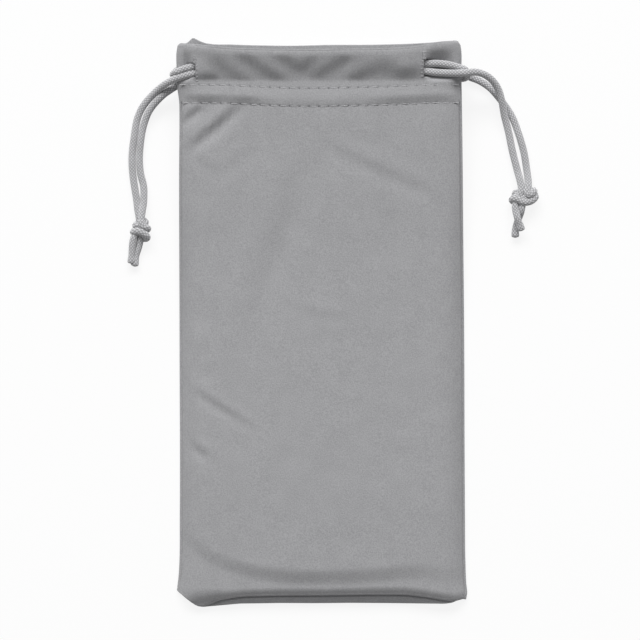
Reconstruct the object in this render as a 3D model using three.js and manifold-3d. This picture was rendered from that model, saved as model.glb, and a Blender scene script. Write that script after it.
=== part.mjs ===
// Drawstring eyeglass pouch, lying flat with its mouth towards +Y.
// Units are millimetres, +Z is up, and the origin is the middle of the face that the pouch rests on.
import * as THREE from 'three';
import { mergeVertices } from 'three/addons/utils/BufferGeometryUtils.js';
import Module from 'manifold-3d';

const wasm = await Module();
wasm.setup();

// Cloth
const pouchWidth = 90;
const pouchHeight = 178;
const clothThickness = 0.6;
const sewnGap = 0.3; // between two pieces of cloth that are sewn together
const bodyCrown = 7; // height of the front panel's middle, below the mouth
const edgeRest = 0.25; // height of the side seams' underside, below the mouth
const flatHalfWidth = 22; // the middle band that stays flat
const bottomFall = 23; // how far from the bottom seam the front starts to drop
const mouthRise = 46; // how far below the casing the side seams start to rise

// Mouth
const mouthGap = 4.2; // free height between the two casings
const casingDepth = 12.7; // from the top fold to the casing's seam
const hemDepth = 7; // doubled cloth below the casing
const leftSlitInset = 5.5; // front slits, from the side edge
const rightSlitInset = 12.3;
const backSlitInset = 9;
const bartackLength = 3.2;
const bartackWidth = 0.9;
const bartackThickness = 0.35;

// Seams inside and stitching
const allowanceWidth = 3.5;
const allowanceThickness = 0.7;
const allowanceInset = 2; // from the pouch's edge to the sewing line
const threadDiameter = 0.36;
const threadGap = 0.1;
const upperRowInset = 0.6; // stitch rows, below the casing's seam
const rowSpacing = 5.7;

// Drawstrings
const cordDiameter = 2.3;
const cordClearance = 0.2; // cord to the casing around it
const endClearance = 0.25; // cord to the cloth that it lies on beside a slit
const upperLaneInset = 6.5; // from the top fold to the upper cord
const laneSpacing = 2.8; // between the two cords in a casing
const floorClearance = 0.05;
const cordJoint = 0.3; // gap where two stretches of one cord meet
const wrapTilt = THREE.MathUtils.degToRad(16);

// How finely round sections and long lines are drawn
const sides = { cord: 8, thread: 5, knotCore: 10, knotWrap: 14 };
const steps = { sideThread: 30, bottomThread: 24, stitching: 32, strand: 16, straight: 3, casing: 8 };
const arcSteps = { casing: 6, mouthEnd: 8, loop: 7 };

// Worked out from the sizes above
const halfWidth = pouchWidth / 2;
const halfHeight = pouchHeight / 2;
const cordRadius = cordDiameter / 2;
const threadRadius = threadDiameter / 2;
const casingThickness = cordDiameter + 2 * (cordClearance + clothThickness);
const backCordZ = casingThickness / 2;
const frontCasingZ = casingThickness + mouthGap;
const frontCordZ = frontCasingZ + casingThickness / 2;
const mouthMiddleZ = (backCordZ + frontCordZ) / 2;
const casingSeamY = halfHeight - casingDepth;
const panelTopY = casingSeamY - sewnGap;
const hemLowY = casingSeamY - hemDepth;
const leftSlitX = -halfWidth + leftSlitInset;
const rightSlitX = halfWidth - rightSlitInset;
const backSlitX = halfWidth - backSlitInset;
const upperLaneY = halfHeight - upperLaneInset;
const lowerLaneY = upperLaneY - laneSpacing;
const restingCordZ = cordRadius + floorClearance;

const clothMaterial = new THREE.MeshStandardMaterial({ color: 0x9d9d9f, roughness: 0.95, metalness: 0 });
const cordMaterial = new THREE.MeshStandardMaterial({ color: 0xb2b1b3, roughness: 0.8, metalness: 0 });
const threadMaterial = new THREE.MeshStandardMaterial({ color: 0xadadaf, roughness: 0.7, metalness: 0 });

function named(name, geometry, material) {
  const mesh = new THREE.Mesh(geometry, material);
  mesh.name = name;
  return mesh;
}

// Evenly spaced values from one limit to the other, both included
function evenly(from, to, count) {
  return Array.from({ length: count }, (_, i) => THREE.MathUtils.lerp(from, to, i / (count - 1)));
}

// A closed layer between two height functions over a rectangular grid
function layer(xs, ys, topZ, underZ) {
  const positions = [];
  for (const height of [underZ, topZ]) {
    for (const y of ys) {
      for (const x of xs) positions.push(x, y, height(x, y));
    }
  }
  const columns = xs.length;
  const rows = ys.length;
  const at = (i, j, top) => top * columns * rows + j * columns + i;
  const faces = [];
  const quad = (a, b, c, d) => faces.push(a, b, c, a, c, d);
  for (let j = 0; j < rows - 1; j++) {
    for (let i = 0; i < columns - 1; i++) {
      quad(at(i, j, 1), at(i + 1, j, 1), at(i + 1, j + 1, 1), at(i, j + 1, 1));
      quad(at(i, j, 0), at(i, j + 1, 0), at(i + 1, j + 1, 0), at(i + 1, j, 0));
    }
  }
  for (let i = 0; i < columns - 1; i++) {
    quad(at(i, 0, 0), at(i + 1, 0, 0), at(i + 1, 0, 1), at(i, 0, 1));
    quad(at(i + 1, rows - 1, 0), at(i, rows - 1, 0), at(i, rows - 1, 1), at(i + 1, rows - 1, 1));
  }
  for (let j = 0; j < rows - 1; j++) {
    quad(at(0, j + 1, 0), at(0, j, 0), at(0, j, 1), at(0, j + 1, 1));
    quad(at(columns - 1, j, 0), at(columns - 1, j + 1, 0), at(columns - 1, j + 1, 1), at(columns - 1, j, 1));
  }
  const geometry = new THREE.BufferGeometry();
  geometry.setAttribute('position', new THREE.Float32BufferAttribute(positions, 3));
  geometry.setIndex(faces);
  geometry.computeVertexNormals();
  return geometry;
}

// A round cord or thread through the given points
function tube(points, radius, sideCount, stepCount) {
  const section = new THREE.Shape();
  for (let i = 0; i < sideCount; i++) {
    const angle = ((i + 0.5) / sideCount) * 2 * Math.PI;
    section[i ? 'lineTo' : 'moveTo'](radius * Math.cos(angle), radius * Math.sin(angle));
  }
  section.closePath();
  const extrudePath = new THREE.CatmullRomCurve3(points.map((point) => new THREE.Vector3(...point)));
  return new THREE.ExtrudeGeometry(section, { steps: Math.round(stepCount), extrudePath });
}

// Heights of the cloth: 0 over the flat middle, 1 at the sides and at the bottom seam
const smooth = THREE.MathUtils.smoothstep;

function edgeShare(x, y) {
  const side = Math.max(0, (Math.abs(x) - flatHalfWidth) / (halfWidth - flatHalfWidth)) ** 3;
  const bottom = Math.max(0, (bottomFall - halfHeight - y) / bottomFall) ** 3;
  return 1 - (1 - side) * (1 - bottom);
}

const towardsMouth = (y) => smooth(y, casingSeamY - mouthRise, casingSeamY);
const layers = (x, y) => (y > hemLowY && edgeShare(x, y) < 1 ? 2 : 1); // two in the hem
const edgeUnder = (y) => {
  const atMouth = mouthMiddleZ - sewnGap / 2 - clothThickness;
  return THREE.MathUtils.lerp(edgeRest, atMouth, towardsMouth(y));
};
const edgeTop = (y) => edgeUnder(y) + 2 * clothThickness + sewnGap;
const crown = (y) => THREE.MathUtils.lerp(bodyCrown, frontCordZ + clothThickness, towardsMouth(y));

function frontOuter(x, y) {
  return THREE.MathUtils.lerp(crown(y), edgeTop(y), edgeShare(x, y));
}

function frontInner(x, y) {
  return frontOuter(x, y) - layers(x, y) * clothThickness;
}

function backOuter(x, y) {
  const liftedHem = (backCordZ - clothThickness) * smooth(y, hemLowY - clothThickness, casingSeamY);
  return THREE.MathUtils.lerp(liftedHem, edgeUnder(y), edgeShare(x, y));
}

function backInner(x, y) {
  return backOuter(x, y) + layers(x, y) * clothThickness;
}

// The two big panels, each doubled into a hem just below the casing. Their grid has a line
// wherever the seams inside have one, so that both bend at the same places.
const sewnX = halfWidth - allowanceInset;
const looseX = sewnX - allowanceWidth;
const sewnY = -halfHeight + allowanceInset;
const looseY = sewnY + allowanceWidth;
const halfColumns = [
  ...evenly(0, flatHalfWidth, 4),
  ...evenly(flatHalfWidth, looseX, 5).slice(1),
  (looseX + sewnX) / 2,
  sewnX,
  halfWidth,
];
const columns = [...halfColumns.slice(1).map((x) => -x).reverse(), ...halfColumns];
const seamRows = [
  ...evenly(looseY, bottomFall - halfHeight, 5),
  ...evenly(bottomFall - halfHeight, casingSeamY - mouthRise, 5).slice(1),
  ...evenly(casingSeamY - mouthRise, hemLowY, 9).slice(1),
];
const panelRows = [
  -halfHeight,
  sewnY,
  (sewnY + looseY) / 2,
  ...seamRows,
  ...evenly(hemLowY + sewnGap / 2, panelTopY, 4),
];

function panels() {
  return [
    named('front_panel', layer(columns, panelRows, frontOuter, frontInner), clothMaterial),
    named('back_panel', layer(columns, panelRows, backInner, backOuter), clothMaterial),
  ];
}

// The turned-in edges of both panels, sewn together inside the pouch
const seamMiddle = (x, y) => (frontInner(x, y) + backInner(x, y)) / 2;
const seamTop = (x, y) => seamMiddle(x, y) + allowanceThickness / 2;
const seamUnder = (x, y) => seamMiddle(x, y) - allowanceThickness / 2;

function seams() {
  const threadZ = (x, y) => seamTop(x, y) + threadGap + threadRadius;
  const threadX = (looseX + sewnX) / 2;
  const threadY = (looseY + sewnY) / 2;
  const pieces = [];
  for (const [side, sign] of [['left', -1], ['right', 1]]) {
    const strip = columns.filter((x) => x * sign >= looseX && x * sign <= sewnX);
    const rows = seamRows.slice(1);
    const line = rows.map((y) => [sign * threadX, y, threadZ(threadX, y)]);
    const thread = tube(line, threadRadius, sides.thread, steps.sideThread);
    pieces.push(named(`${side}_seam_allowance`, layer(strip, rows, seamTop, seamUnder), clothMaterial));
    pieces.push(named(`${side}_seam_thread`, thread, threadMaterial));
  }
  const strip = columns.filter((x) => Math.abs(x) <= sewnX);
  const rows = panelRows.filter((y) => y >= sewnY && y <= looseY);
  const line = strip.slice(2, -2).map((x) => [x, threadY, threadZ(x, threadY)]);
  const thread = tube(line, threadRadius, sides.thread, steps.bottomThread);
  pieces.push(named('bottom_seam_allowance', layer(strip, rows, seamTop, seamUnder), clothMaterial));
  pieces.push(named('bottom_seam_thread', thread, threadMaterial));
  return pieces;
}

// Two rows of thread hold each hem, on both faces of the pouch
function stitchRows() {
  const pieces = [];
  const rows = [['upper', casingSeamY - sewnGap - upperRowInset]];
  rows.push(['lower', rows[0][1] - rowSpacing]);
  const lift = threadGap + threadRadius;
  for (const [row, y] of rows) {
    for (const [face, height] of [['front', frontOuter], ['back', backInner]]) {
      const line = columns.slice(1, -1).map((x) => [x, y, height(x, y) + lift]);
      const thread = tube(line, threadRadius, sides.thread, steps.stitching);
      pieces.push(named(`${face}_${row}_stitching`, thread, threadMaterial));
    }
  }
  return pieces;
}

// A flat tunnel with round edges, open at both slits
function casing(name, fromX, toX, middleZ) {
  const outline = new THREE.Shape();
  const bore = new THREE.Path();
  for (const [path, inset] of [[outline, 0], [bore, clothThickness]]) {
    const radius = casingThickness / 2 - inset;
    path.absarc(casingSeamY + casingThickness / 2, 0, radius, Math.PI / 2, (3 * Math.PI) / 2);
    path.absarc(halfHeight - casingThickness / 2, 0, radius, -Math.PI / 2, Math.PI / 2);
  }
  outline.holes.push(bore);
  const drawn = { steps: steps.casing, curveSegments: arcSteps.casing };
  const settings = { depth: toX - fromX, bevelEnabled: false, ...drawn };
  const mesh = named(name, new THREE.ExtrudeGeometry(outline, settings), clothMaterial);
  mesh.position.set(fromX, 0, middleZ);
  mesh.rotation.set(Math.PI / 2, Math.PI / 2, 0);
  return mesh;
}

// The doubled cloth between a front slit and a back slit, folded round the side edge,
// low enough for the cords to lie on it
function mouthEnd(side, sign, frontSlit) {
  const outerRadius = mouthMiddleZ - backCordZ - cordRadius - endClearance;
  const innerRadius = outerRadius - 2 * clothThickness;
  const bendX = halfWidth - outerRadius;
  const frontEnd = Math.abs(frontSlit) + sewnGap;
  const backEnd = backSlitX + sewnGap;
  const section = new THREE.Shape();
  section.moveTo(frontEnd, innerRadius);
  section.lineTo(frontEnd, outerRadius);
  section.absarc(bendX, 0, outerRadius, Math.PI / 2, -Math.PI / 2, true);
  section.lineTo(backEnd, -outerRadius);
  section.lineTo(backEnd, -innerRadius);
  section.absarc(bendX, 0, innerRadius, -Math.PI / 2, Math.PI / 2, false);
  section.closePath();
  const settings = { depth: casingDepth, bevelEnabled: false, curveSegments: arcSteps.mouthEnd };
  const geometry = new THREE.ExtrudeGeometry(section, settings);
  const end = named(`${side}_mouth_end`, geometry, clothMaterial);
  end.rotation.x = Math.PI / 2;
  const group = new THREE.Group();
  group.add(end);
  const barSize = [bartackWidth, bartackThickness, bartackLength];
  const barHeight = outerRadius + threadGap + bartackThickness / 2;
  const barDepth = upperLaneInset - cordRadius - 2 * endClearance - bartackLength / 2;
  const barInset = sewnGap + bartackWidth;
  for (const [face, slitEnd, z] of [['front', frontEnd, barHeight], ['back', backEnd, -barHeight]]) {
    const bar = named(`${face}_${side}_bartack`, new THREE.BoxGeometry(...barSize), threadMaterial);
    bar.rotation.x = Math.PI / 2;
    bar.position.set(slitEnd + barInset, -barDepth, z);
    group.add(bar);
  }
  // The left end is the right one's mirror image, but for its front slit
  group.position.set(0, halfHeight, mouthMiddleZ);
  if (sign < 0) {
    for (const piece of group.children) {
      piece.geometry = mirrored(piece.geometry);
      piece.position.x *= -1;
    }
  }
  return group;
}

// The same geometry seen in a mirror across x = 0, with its faces still pointing out
function mirrored(geometry) {
  const flipped = geometry.index ? geometry.toNonIndexed() : geometry.clone();
  flipped.scale(-1, 1, 1);
  for (const attribute of Object.values(flipped.attributes)) {
    const { array, itemSize } = attribute;
    for (let corner = 0; corner < array.length; corner += 3 * itemSize) {
      for (let k = 0; k < itemSize; k++) {
        const first = array[corner + itemSize + k];
        array[corner + itemSize + k] = array[corner + 2 * itemSize + k];
        array[corner + 2 * itemSize + k] = first;
      }
    }
  }
  return flipped;
}

function asSolid(geometry) {
  const bare = geometry.clone();
  bare.deleteAttribute('normal');
  bare.deleteAttribute('uv');
  const merged = mergeVertices(bare, 1e-4);
  const mesh = new wasm.Mesh({
    numProp: 3,
    vertProperties: new Float32Array(merged.attributes.position.array),
    triVerts: new Uint32Array(merged.index.array),
  });
  return new wasm.Manifold(mesh);
}

function asGeometry(solid) {
  const mesh = solid.getMesh();
  const geometry = new THREE.BufferGeometry();
  geometry.setAttribute('position', new THREE.Float32BufferAttribute(mesh.vertProperties, 3));
  geometry.setIndex(Array.from(mesh.triVerts));
  geometry.computeVertexNormals();
  return geometry;
}

// A double overhand knot as three wraps of cord, tilted to and fro, round a solid core
function knot(name, centre, across, along, heading) {
  const ring = (across - cordDiameter) / 2;
  const pitch = (along - cordDiameter) / 2;
  const height = (across + cordDiameter) / 2;
  const core = new THREE.CylinderGeometry(ring, ring, along - cordRadius, sides.knotCore);
  let body = asSolid(core);
  for (const turn of [-1, 0, 1]) {
    const wrap = new THREE.TorusGeometry(ring, cordRadius, sides.cord, sides.knotWrap);
    wrap.rotateX(Math.PI / 2 + wrapTilt * (turn ? 1 : -1));
    wrap.translate(0, turn * pitch, 0);
    body = body.add(asSolid(wrap));
  }
  const geometry = asGeometry(body);
  geometry.computeBoundingBox();
  const size = geometry.boundingBox.getSize(new THREE.Vector3());
  geometry.scale(across / size.x, along / size.y, height / size.z);
  const mesh = named(name, geometry, cordMaterial);
  mesh.position.set(centre[0], centre[1], height / 2 + floorClearance);
  mesh.rotation.z = heading;
  return mesh;
}

// A point of a cord's free stretch: outwards from the side edge, up the page from the lower cord,
// and lift, which is 0 on the table and 1 at the height of the front casing's cords
const freePoint = (sign) => ([out, up, lift]) => [
  sign * (halfWidth + out),
  lowerLaneY + up,
  THREE.MathUtils.lerp(restingCordZ, frontCordZ, lift),
];

// The left drawstring's two ends hang out at the left, and it loops round the right mouth end
const leftFrontRoute = [
  [-1.1, -1.2, 1],
  [2.9, -2.4, 0.9],
  [6, -4.4, 0.63],
  [9, -7, 0.37],
  [11.7, -10.3, 0.18],
  [13.6, -13.8, 0.06],
  [14.8, -20.6, 0],
  [15.4, -26.7, 0],
  [15.1, -32.8, 0.02],
  [14.2, -39, 0.15],
  [13.1, -43.8, 0.28],
  [12.8, -45.9, 0.3],
];
const leftBackRoute = [
  [-3.6, -1.9, 0.04],
  [0.9, -4.1, 0],
  [5.4, -7.1, 0],
  [9.1, -11.8, 0],
  [11.3, -16.7, 0],
  [12.4, -22.7, 0],
  [12.7, -27.7, 0],
  [12.4, -31.8, 0],
  [11.3, -35.9, 0],
  [11.3, -41, 0],
  [11.8, -45.9, 0.02],
];
const leftKnot = { centre: [12.6, -50.1], across: 6.6, along: 7.3, heading: 0.12 };
const leftTails = [
  [[12.9, -53.8, 0.06], [13.7, -57.5, 0.02], [15, -61.4, 0]],
  [[11.8, -53.9, 0.31], [12.4, -57.5, 0.29], [13.4, -61.2, 0.28]],
];

// The right drawstring's two ends hang out at the right, and it loops round the left mouth end
const rightFrontRoute = [
  [-2, 2.4, 1],
  [1.2, 1, 1],
  [4.5, 0.4, 0.93],
  [7.6, -0.8, 0.78],
  [10, -2.9, 0.58],
  [11.5, -5.6, 0.42],
  [12.8, -8.5, 0.38],
  [13.1, -13.6, 0.2],
  [14.2, -18.6, 0.03],
  [15.8, -24.7, 0],
  [17.3, -30.7, 0.02],
  [18.6, -35.5, 0.24],
];
const rightBackRoute = [
  [-3, 2.7, 0.05],
  [0.2, 1.5, 0.01],
  [2.6, -0.7, 0],
  [5.1, -2.3, 0],
  [8.5, -4.4, 0],
  [11.6, -8.5, 0],
  [15.5, -13.6, 0],
  [17.6, -18.6, 0],
  [19.3, -24.7, 0],
  [20.3, -30.7, 0],
  [20.8, -35.5, 0.03],
];
const rightKnot = { centre: [19.5, -39.3], across: 9.4, along: 6.6, heading: -0.15 };
const rightTails = [
  [[16.6, -42.9, 0.28], [16.7, -45.3, 0.31], [18, -47.8, 0.31], [19, -49.8, 0.27]],
  [[18.9, -42.9, 0.06], [17.7, -45.3, 0.01], [16.9, -47.8, 0], [16.7, -53, 0]],
];

// One drawstring: its runs in both casings, the loop round the far mouth end, and its free side
function drawstring(side, sign, laneY, near, far, routes) {
  const toFree = freePoint(sign);
  const name = (stretch) => `${side}_drawstring_${stretch}`;
  const inner = sign * cordJoint;
  const run = (stretch, fromX, toX, z) => {
    const points = evenly(fromX, toX, 4).map((x) => [x, laneY, z]);
    return named(name(stretch), tube(points, cordRadius, sides.cord, steps.straight), cordMaterial);
  };
  const strand = (stretch, slitX, z, route) => {
    const points = [[slitX, laneY, z], ...route.map(toFree)];
    return named(name(stretch), tube(points, cordRadius, sides.cord, steps.strand), cordMaterial);
  };
  const pieces = [
    run('front_run', near.front - inner, far.front + inner, frontCordZ),
    run('back_run', near.back - inner, far.back + inner, backCordZ),
    strand('front_strand', near.front, frontCordZ, routes.front),
    strand('back_strand', near.back, backCordZ, routes.back),
  ];
  const { centre, across, along, heading } = routes.knot;
  const [knotX, knotY] = toFree([...centre, 0]);
  pieces.push(knot(name('knot'), [knotX, knotY], across, along, heading));
  routes.tails.forEach((route, i) => {
    const geometry = tube(route.map(toFree), cordRadius, sides.cord, steps.straight);
    pieces.push(named(name(`tail_${i + 1}`), geometry, cordMaterial));
  });
  return pieces;
}

// The stretch that goes round a mouth end from the front slit to the back slit
function loop(side, sign, laneY, slits, dip) {
  const bend = (frontCordZ - backCordZ) / 2;
  const bendX = halfWidth - bend + cordRadius + endClearance;
  const points = [[slits.front, laneY, frontCordZ], [sign * (bendX - bend / 2), laneY, frontCordZ]];
  for (const angle of evenly(90, -90, arcSteps.loop).map(THREE.MathUtils.degToRad)) {
    const [out, rise] = [Math.cos(angle), Math.sin(angle)];
    points.push([sign * (bendX + bend * out), laneY + dip * out, mouthMiddleZ + bend * rise]);
  }
  points.push([slits.back, laneY, backCordZ]);
  const cord = tube(points, cordRadius, sides.cord, steps.strand);
  return named(`${side}_drawstring_loop`, cord, cordMaterial);
}

const leftSlits = { front: leftSlitX, back: -backSlitX };
const rightSlits = { front: rightSlitX, back: backSlitX };

const pouch = new THREE.Group();
pouch.add(...panels(), ...seams(), ...stitchRows());
pouch.add(casing('front_casing', leftSlitX, rightSlitX, frontCordZ));
pouch.add(casing('back_casing', -backSlitX, backSlitX, backCordZ));
pouch.add(mouthEnd('left', -1, leftSlitX));
pouch.add(mouthEnd('right', 1, rightSlitX));

const leftRoutes = { front: leftFrontRoute, back: leftBackRoute, knot: leftKnot, tails: leftTails };
const rightRoutes = { front: rightFrontRoute, back: rightBackRoute, knot: rightKnot, tails: rightTails };
pouch.add(...drawstring('left', -1, lowerLaneY, leftSlits, rightSlits, leftRoutes));
pouch.add(...drawstring('right', 1, upperLaneY, rightSlits, leftSlits, rightRoutes));
pouch.add(loop('left', 1, lowerLaneY, rightSlits, -1));
pouch.add(loop('right', -1, upperLaneY, leftSlits, -0.8));

export default pouch;
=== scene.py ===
# %% [markdown]
# # A drawstring eyeglass pouch
#
# This lesson dresses the CAD model of a soft microfibre pouch. The CAD model says where each piece
# is and how it moves. Here the stiff-looking solids are replaced by cloth, cords, knots and
# stitches, in the same place and at the same size. Lengths are worked out in millimetres and
# turned into Blender's metres when a mesh is made.

# %% Load the CAD model
import math

import bmesh
import bpy
import numpy as np
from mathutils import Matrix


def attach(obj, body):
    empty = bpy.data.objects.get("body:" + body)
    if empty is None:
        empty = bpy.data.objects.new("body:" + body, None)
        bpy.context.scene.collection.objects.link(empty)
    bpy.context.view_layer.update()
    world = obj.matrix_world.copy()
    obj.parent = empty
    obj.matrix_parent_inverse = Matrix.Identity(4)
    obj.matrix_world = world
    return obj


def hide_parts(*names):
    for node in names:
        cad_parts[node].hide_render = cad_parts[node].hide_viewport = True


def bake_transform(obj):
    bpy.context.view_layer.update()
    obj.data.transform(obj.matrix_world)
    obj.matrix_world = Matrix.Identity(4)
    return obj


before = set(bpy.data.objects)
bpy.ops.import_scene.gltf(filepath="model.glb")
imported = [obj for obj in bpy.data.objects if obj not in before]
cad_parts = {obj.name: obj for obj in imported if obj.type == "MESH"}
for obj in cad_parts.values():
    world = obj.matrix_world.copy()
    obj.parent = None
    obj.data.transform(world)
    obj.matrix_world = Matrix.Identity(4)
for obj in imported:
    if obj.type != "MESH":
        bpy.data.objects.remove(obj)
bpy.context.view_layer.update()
MM = 0.001

# %% [markdown]
# ## The camera
#
# The photo is a flat-lay: the camera looks straight down from about a metre, through a long lens.
# A perspective camera with a narrow angle gives the same slight widening of what lies higher.
# `seen` turns a pixel of the 640 x 640 frame and a height into a point of the model, so that the
# cords can be laid where the photo shows them.

# %% Camera
CAMERA_HEIGHT = 1100.0
PIXEL = 0.318  # mm, at the height LEVEL
LEVEL = 5.0
MIDDLE_PIXEL = (321.3, 324.0)  # where the model's origin is

camera_data = bpy.data.cameras.new("camera")
camera = bpy.data.objects.new("camera", camera_data)
bpy.context.scene.collection.objects.link(camera)
frame_middle = ((320 - MIDDLE_PIXEL[0]) * PIXEL, (MIDDLE_PIXEL[1] - 320) * PIXEL)
camera.location = (frame_middle[0] * MM, frame_middle[1] * MM, CAMERA_HEIGHT * MM)
camera_data.sensor_width = 36.0
camera_data.lens = 36.0 * (CAMERA_HEIGHT - LEVEL) / (640 * PIXEL)
camera_data.clip_start = 0.05
camera_data.clip_end = 20
bpy.context.scene.camera = camera


def seen(column, row, height):
    """The point in mm at this height that the photo shows at this pixel."""
    scale = PIXEL * (CAMERA_HEIGHT - height) / (CAMERA_HEIGHT - LEVEL)
    x = frame_middle[0] + (column - 320) * scale
    y = frame_middle[1] - (row - 320) * scale
    return (x, y, height)


def seen_all(*places):
    """The same for several (column, row, height) places."""
    return [seen(*place) for place in places]


print("lens:", round(camera_data.lens, 1), "mm")

# %% [markdown]
# ## Wires and nodes
#
# Shader maths is easier to read as a formula than as a web of nodes. `Wire` wraps a node's output
# socket, and its operators add the Math nodes. `Tree.node` makes every other node.

# %% Wires
class Wire:
    """An output socket that can be added to, multiplied and so on."""

    def __init__(self, tree, socket):
        self.tree, self.socket = tree, socket

    def out(self, name):
        return Wire(self.tree, self.socket.node.outputs[name])

    def math(self, operation, first, second):
        return self.tree.node("ShaderNodeMath", {"operation": operation}, {0: first, 1: second})

    def __add__(self, other):
        return self.math("ADD", self, other)

    def __sub__(self, other):
        return self.math("SUBTRACT", self, other)

    def __rsub__(self, other):
        return self.math("SUBTRACT", other, self)

    def __mul__(self, other):
        return self.math("MULTIPLY", self, other)

    def __pow__(self, other):
        return self.math("POWER", self, other)

    __radd__ = __add__
    __rmul__ = __mul__


print("a wire can be added, subtracted, multiplied and raised to a power")


# %% Trees
class Tree:
    """A node tree of a material or of a Geometry Nodes group."""

    def __init__(self, nodes):
        self.nodes = nodes

    def node(self, kind, settings=None, sockets=None, output=0):
        made = self.nodes.nodes.new(kind)
        for name, value in (settings or {}).items():
            setattr(made, name, value)
        for key, value in (sockets or {}).items():
            if isinstance(value, Wire):
                self.nodes.links.new(value.socket, made.inputs[key])
            else:
                made.inputs[key].default_value = value
        return Wire(self, made.outputs[output])

    def sine(self, value):
        return self.node("ShaderNodeMath", {"operation": "SINE"}, {0: value})

    def ease(self, value, low, high):
        return self.node(
            "ShaderNodeMapRange",
            {"interpolation_type": "SMOOTHSTEP"},
            {"Value": value, "From Min": low, "From Max": high},
        )

    def mix(self, factor, first, second):
        """One colour turning into another as the factor goes from 0 to 1."""
        return self.node(
            "ShaderNodeMix",
            {"data_type": "RGBA"},
            {0: factor, 6: first, 7: second},
            output=2,
        )

    def noise(self, place, scale, detail=2.0, roughness=0.5):
        """Speckle from 0 to 1, finer with a greater scale."""
        return self.node(
            "ShaderNodeTexNoise",
            {},
            {"Vector": place, "Scale": scale, "Detail": detail, "Roughness": roughness},
            output="Fac",
        )

    def bump(self, strength, distance, height):
        return self.node(
            "ShaderNodeBump", {}, {"Strength": strength, "Distance": distance, "Height": height}
        )


print("a tree makes:", ", ".join(name for name in vars(Tree) if not name.startswith("_")))


# %% Greys and materials
def grey(value):
    """An sRGB grey from 0 to 255, with a trace of blue, as the linear colour of a shader."""
    shade = [value / 255, value / 255, (value + 2.0) / 255]
    return [((v + 0.055) / 1.055) ** 2.4 for v in shade] + [1.0]


def new_material(name, roughness):
    """A plain material, its tree and its shader."""
    material = bpy.data.materials.new(name)
    material.use_nodes = True
    tree = Tree(material.node_tree)
    shader = material.node_tree.nodes["Principled BSDF"]
    shader.inputs["Roughness"].default_value = roughness
    shader.inputs["Specular IOR Level"].default_value = 0.25
    return material, tree, shader


def connect(shader, name, wire):
    wire.tree.nodes.links.new(wire.socket, shader.inputs[name])


print("grey 128 as a shader's colour:", [round(v, 3) for v in grey(128)])

# %% [markdown]
# ## Floor and light
#
# A product photo on white has one large soft light, here at the top of the picture and a little to
# the left, and bounce from everywhere else. The floor is an ordinary pale surface for the light.
# For the camera it is mostly plain white, and the rest keeps a trace of the pouch's shadow.

# %% The floor
FLOOR_HALF = 6.0  # metres
FLOOR_SHADE = 0.86
PLAIN_SHARE = 0.86  # how much of the floor is plain white for the camera


def straight_to_camera(tree):
    """1 for what is seen directly, in a mirror or through glass, and 0 for bounced light."""
    path = tree.node("ShaderNodeLightPath")
    return path.out("Is Camera Ray") + path.out("Is Glossy Ray") + path.out("Is Transmission Ray")


def floor_material():
    material, tree, shader = new_material("white_floor", 0.9)
    shader.inputs["Base Color"].default_value = (FLOOR_SHADE, FLOOR_SHADE, FLOOR_SHADE, 1)
    plain = straight_to_camera(tree)
    glow = tree.node("ShaderNodeEmission", {}, {"Color": (1, 1, 1, 1), "Strength": 1.0})
    both = tree.node(
        "ShaderNodeMixShader",
        {},
        {0: plain * PLAIN_SHARE, 1: Wire(tree, shader.outputs[0]), 2: glow},
    )
    output = material.node_tree.nodes["Material Output"]
    tree.nodes.links.new(both.socket, output.inputs["Surface"])
    return material


def lay_floor():
    mesh = bpy.data.meshes.new("floor")
    signs = [(-1, -1), (1, -1), (1, 1), (-1, 1)]
    corners = [(x * FLOOR_HALF, y * FLOOR_HALF, 0) for x, y in signs]
    mesh.from_pydata(corners, [], [(0, 1, 2, 3)])
    floor = bpy.data.objects.new("floor", mesh)
    bpy.context.scene.collection.objects.link(floor)
    mesh.materials.append(floor_material())


lay_floor()
print("floor:", 2 * FLOOR_HALF, "m wide")

# %% The lamp and the sky
SKY = 0.34  # the strength of the light from all sides


def hang_lamp(name, place, size, power):
    """A wide soft light that points at the pouch, with its sizes in metres and power in watts."""
    data = bpy.data.lights.new(name, "AREA")
    data.shape, data.size, data.size_y = "RECTANGLE", size[0], size[1]
    data.energy = power
    lamp = bpy.data.objects.new(name, data)
    lamp.location = place
    direction = -lamp.location.normalized()
    lamp.rotation_euler = direction.to_track_quat("-Z", "Y").to_euler()
    bpy.context.scene.collection.objects.link(lamp)


def light_the_room():
    world = bpy.data.worlds.new("studio")
    bpy.context.scene.world = world
    world.use_nodes = True
    tree = Tree(world.node_tree)
    background = world.node_tree.nodes["Background"]
    background.inputs["Color"].default_value = (1, 1, 1, 1)
    strength = SKY + straight_to_camera(tree) * (1 - SKY)
    tree.nodes.links.new(strength.socket, background.inputs["Strength"])
    hang_lamp("key_light", (-0.2, 2.17, 1.7), (2.8, 0.9), 98)
    bpy.context.scene.view_settings.view_transform = "Standard"


light_the_room()
print("lamps:", len(bpy.data.lights), "and a sky of strength", SKY)

# %% [markdown]
# ## Lines and tubes
#
# A cord is a round tube swept along a smooth line through a few points. The line is resampled at
# even steps, and the rings are turned as little as possible from one to the next, so that the
# braid doesn't twist. The UV map counts once round the cord and one unit for each millimetre
# along it.

# %% Smooth lines
def distances_along(line):
    return np.concatenate([[0], np.cumsum(np.linalg.norm(np.diff(line, axis=0), axis=1))])


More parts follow.
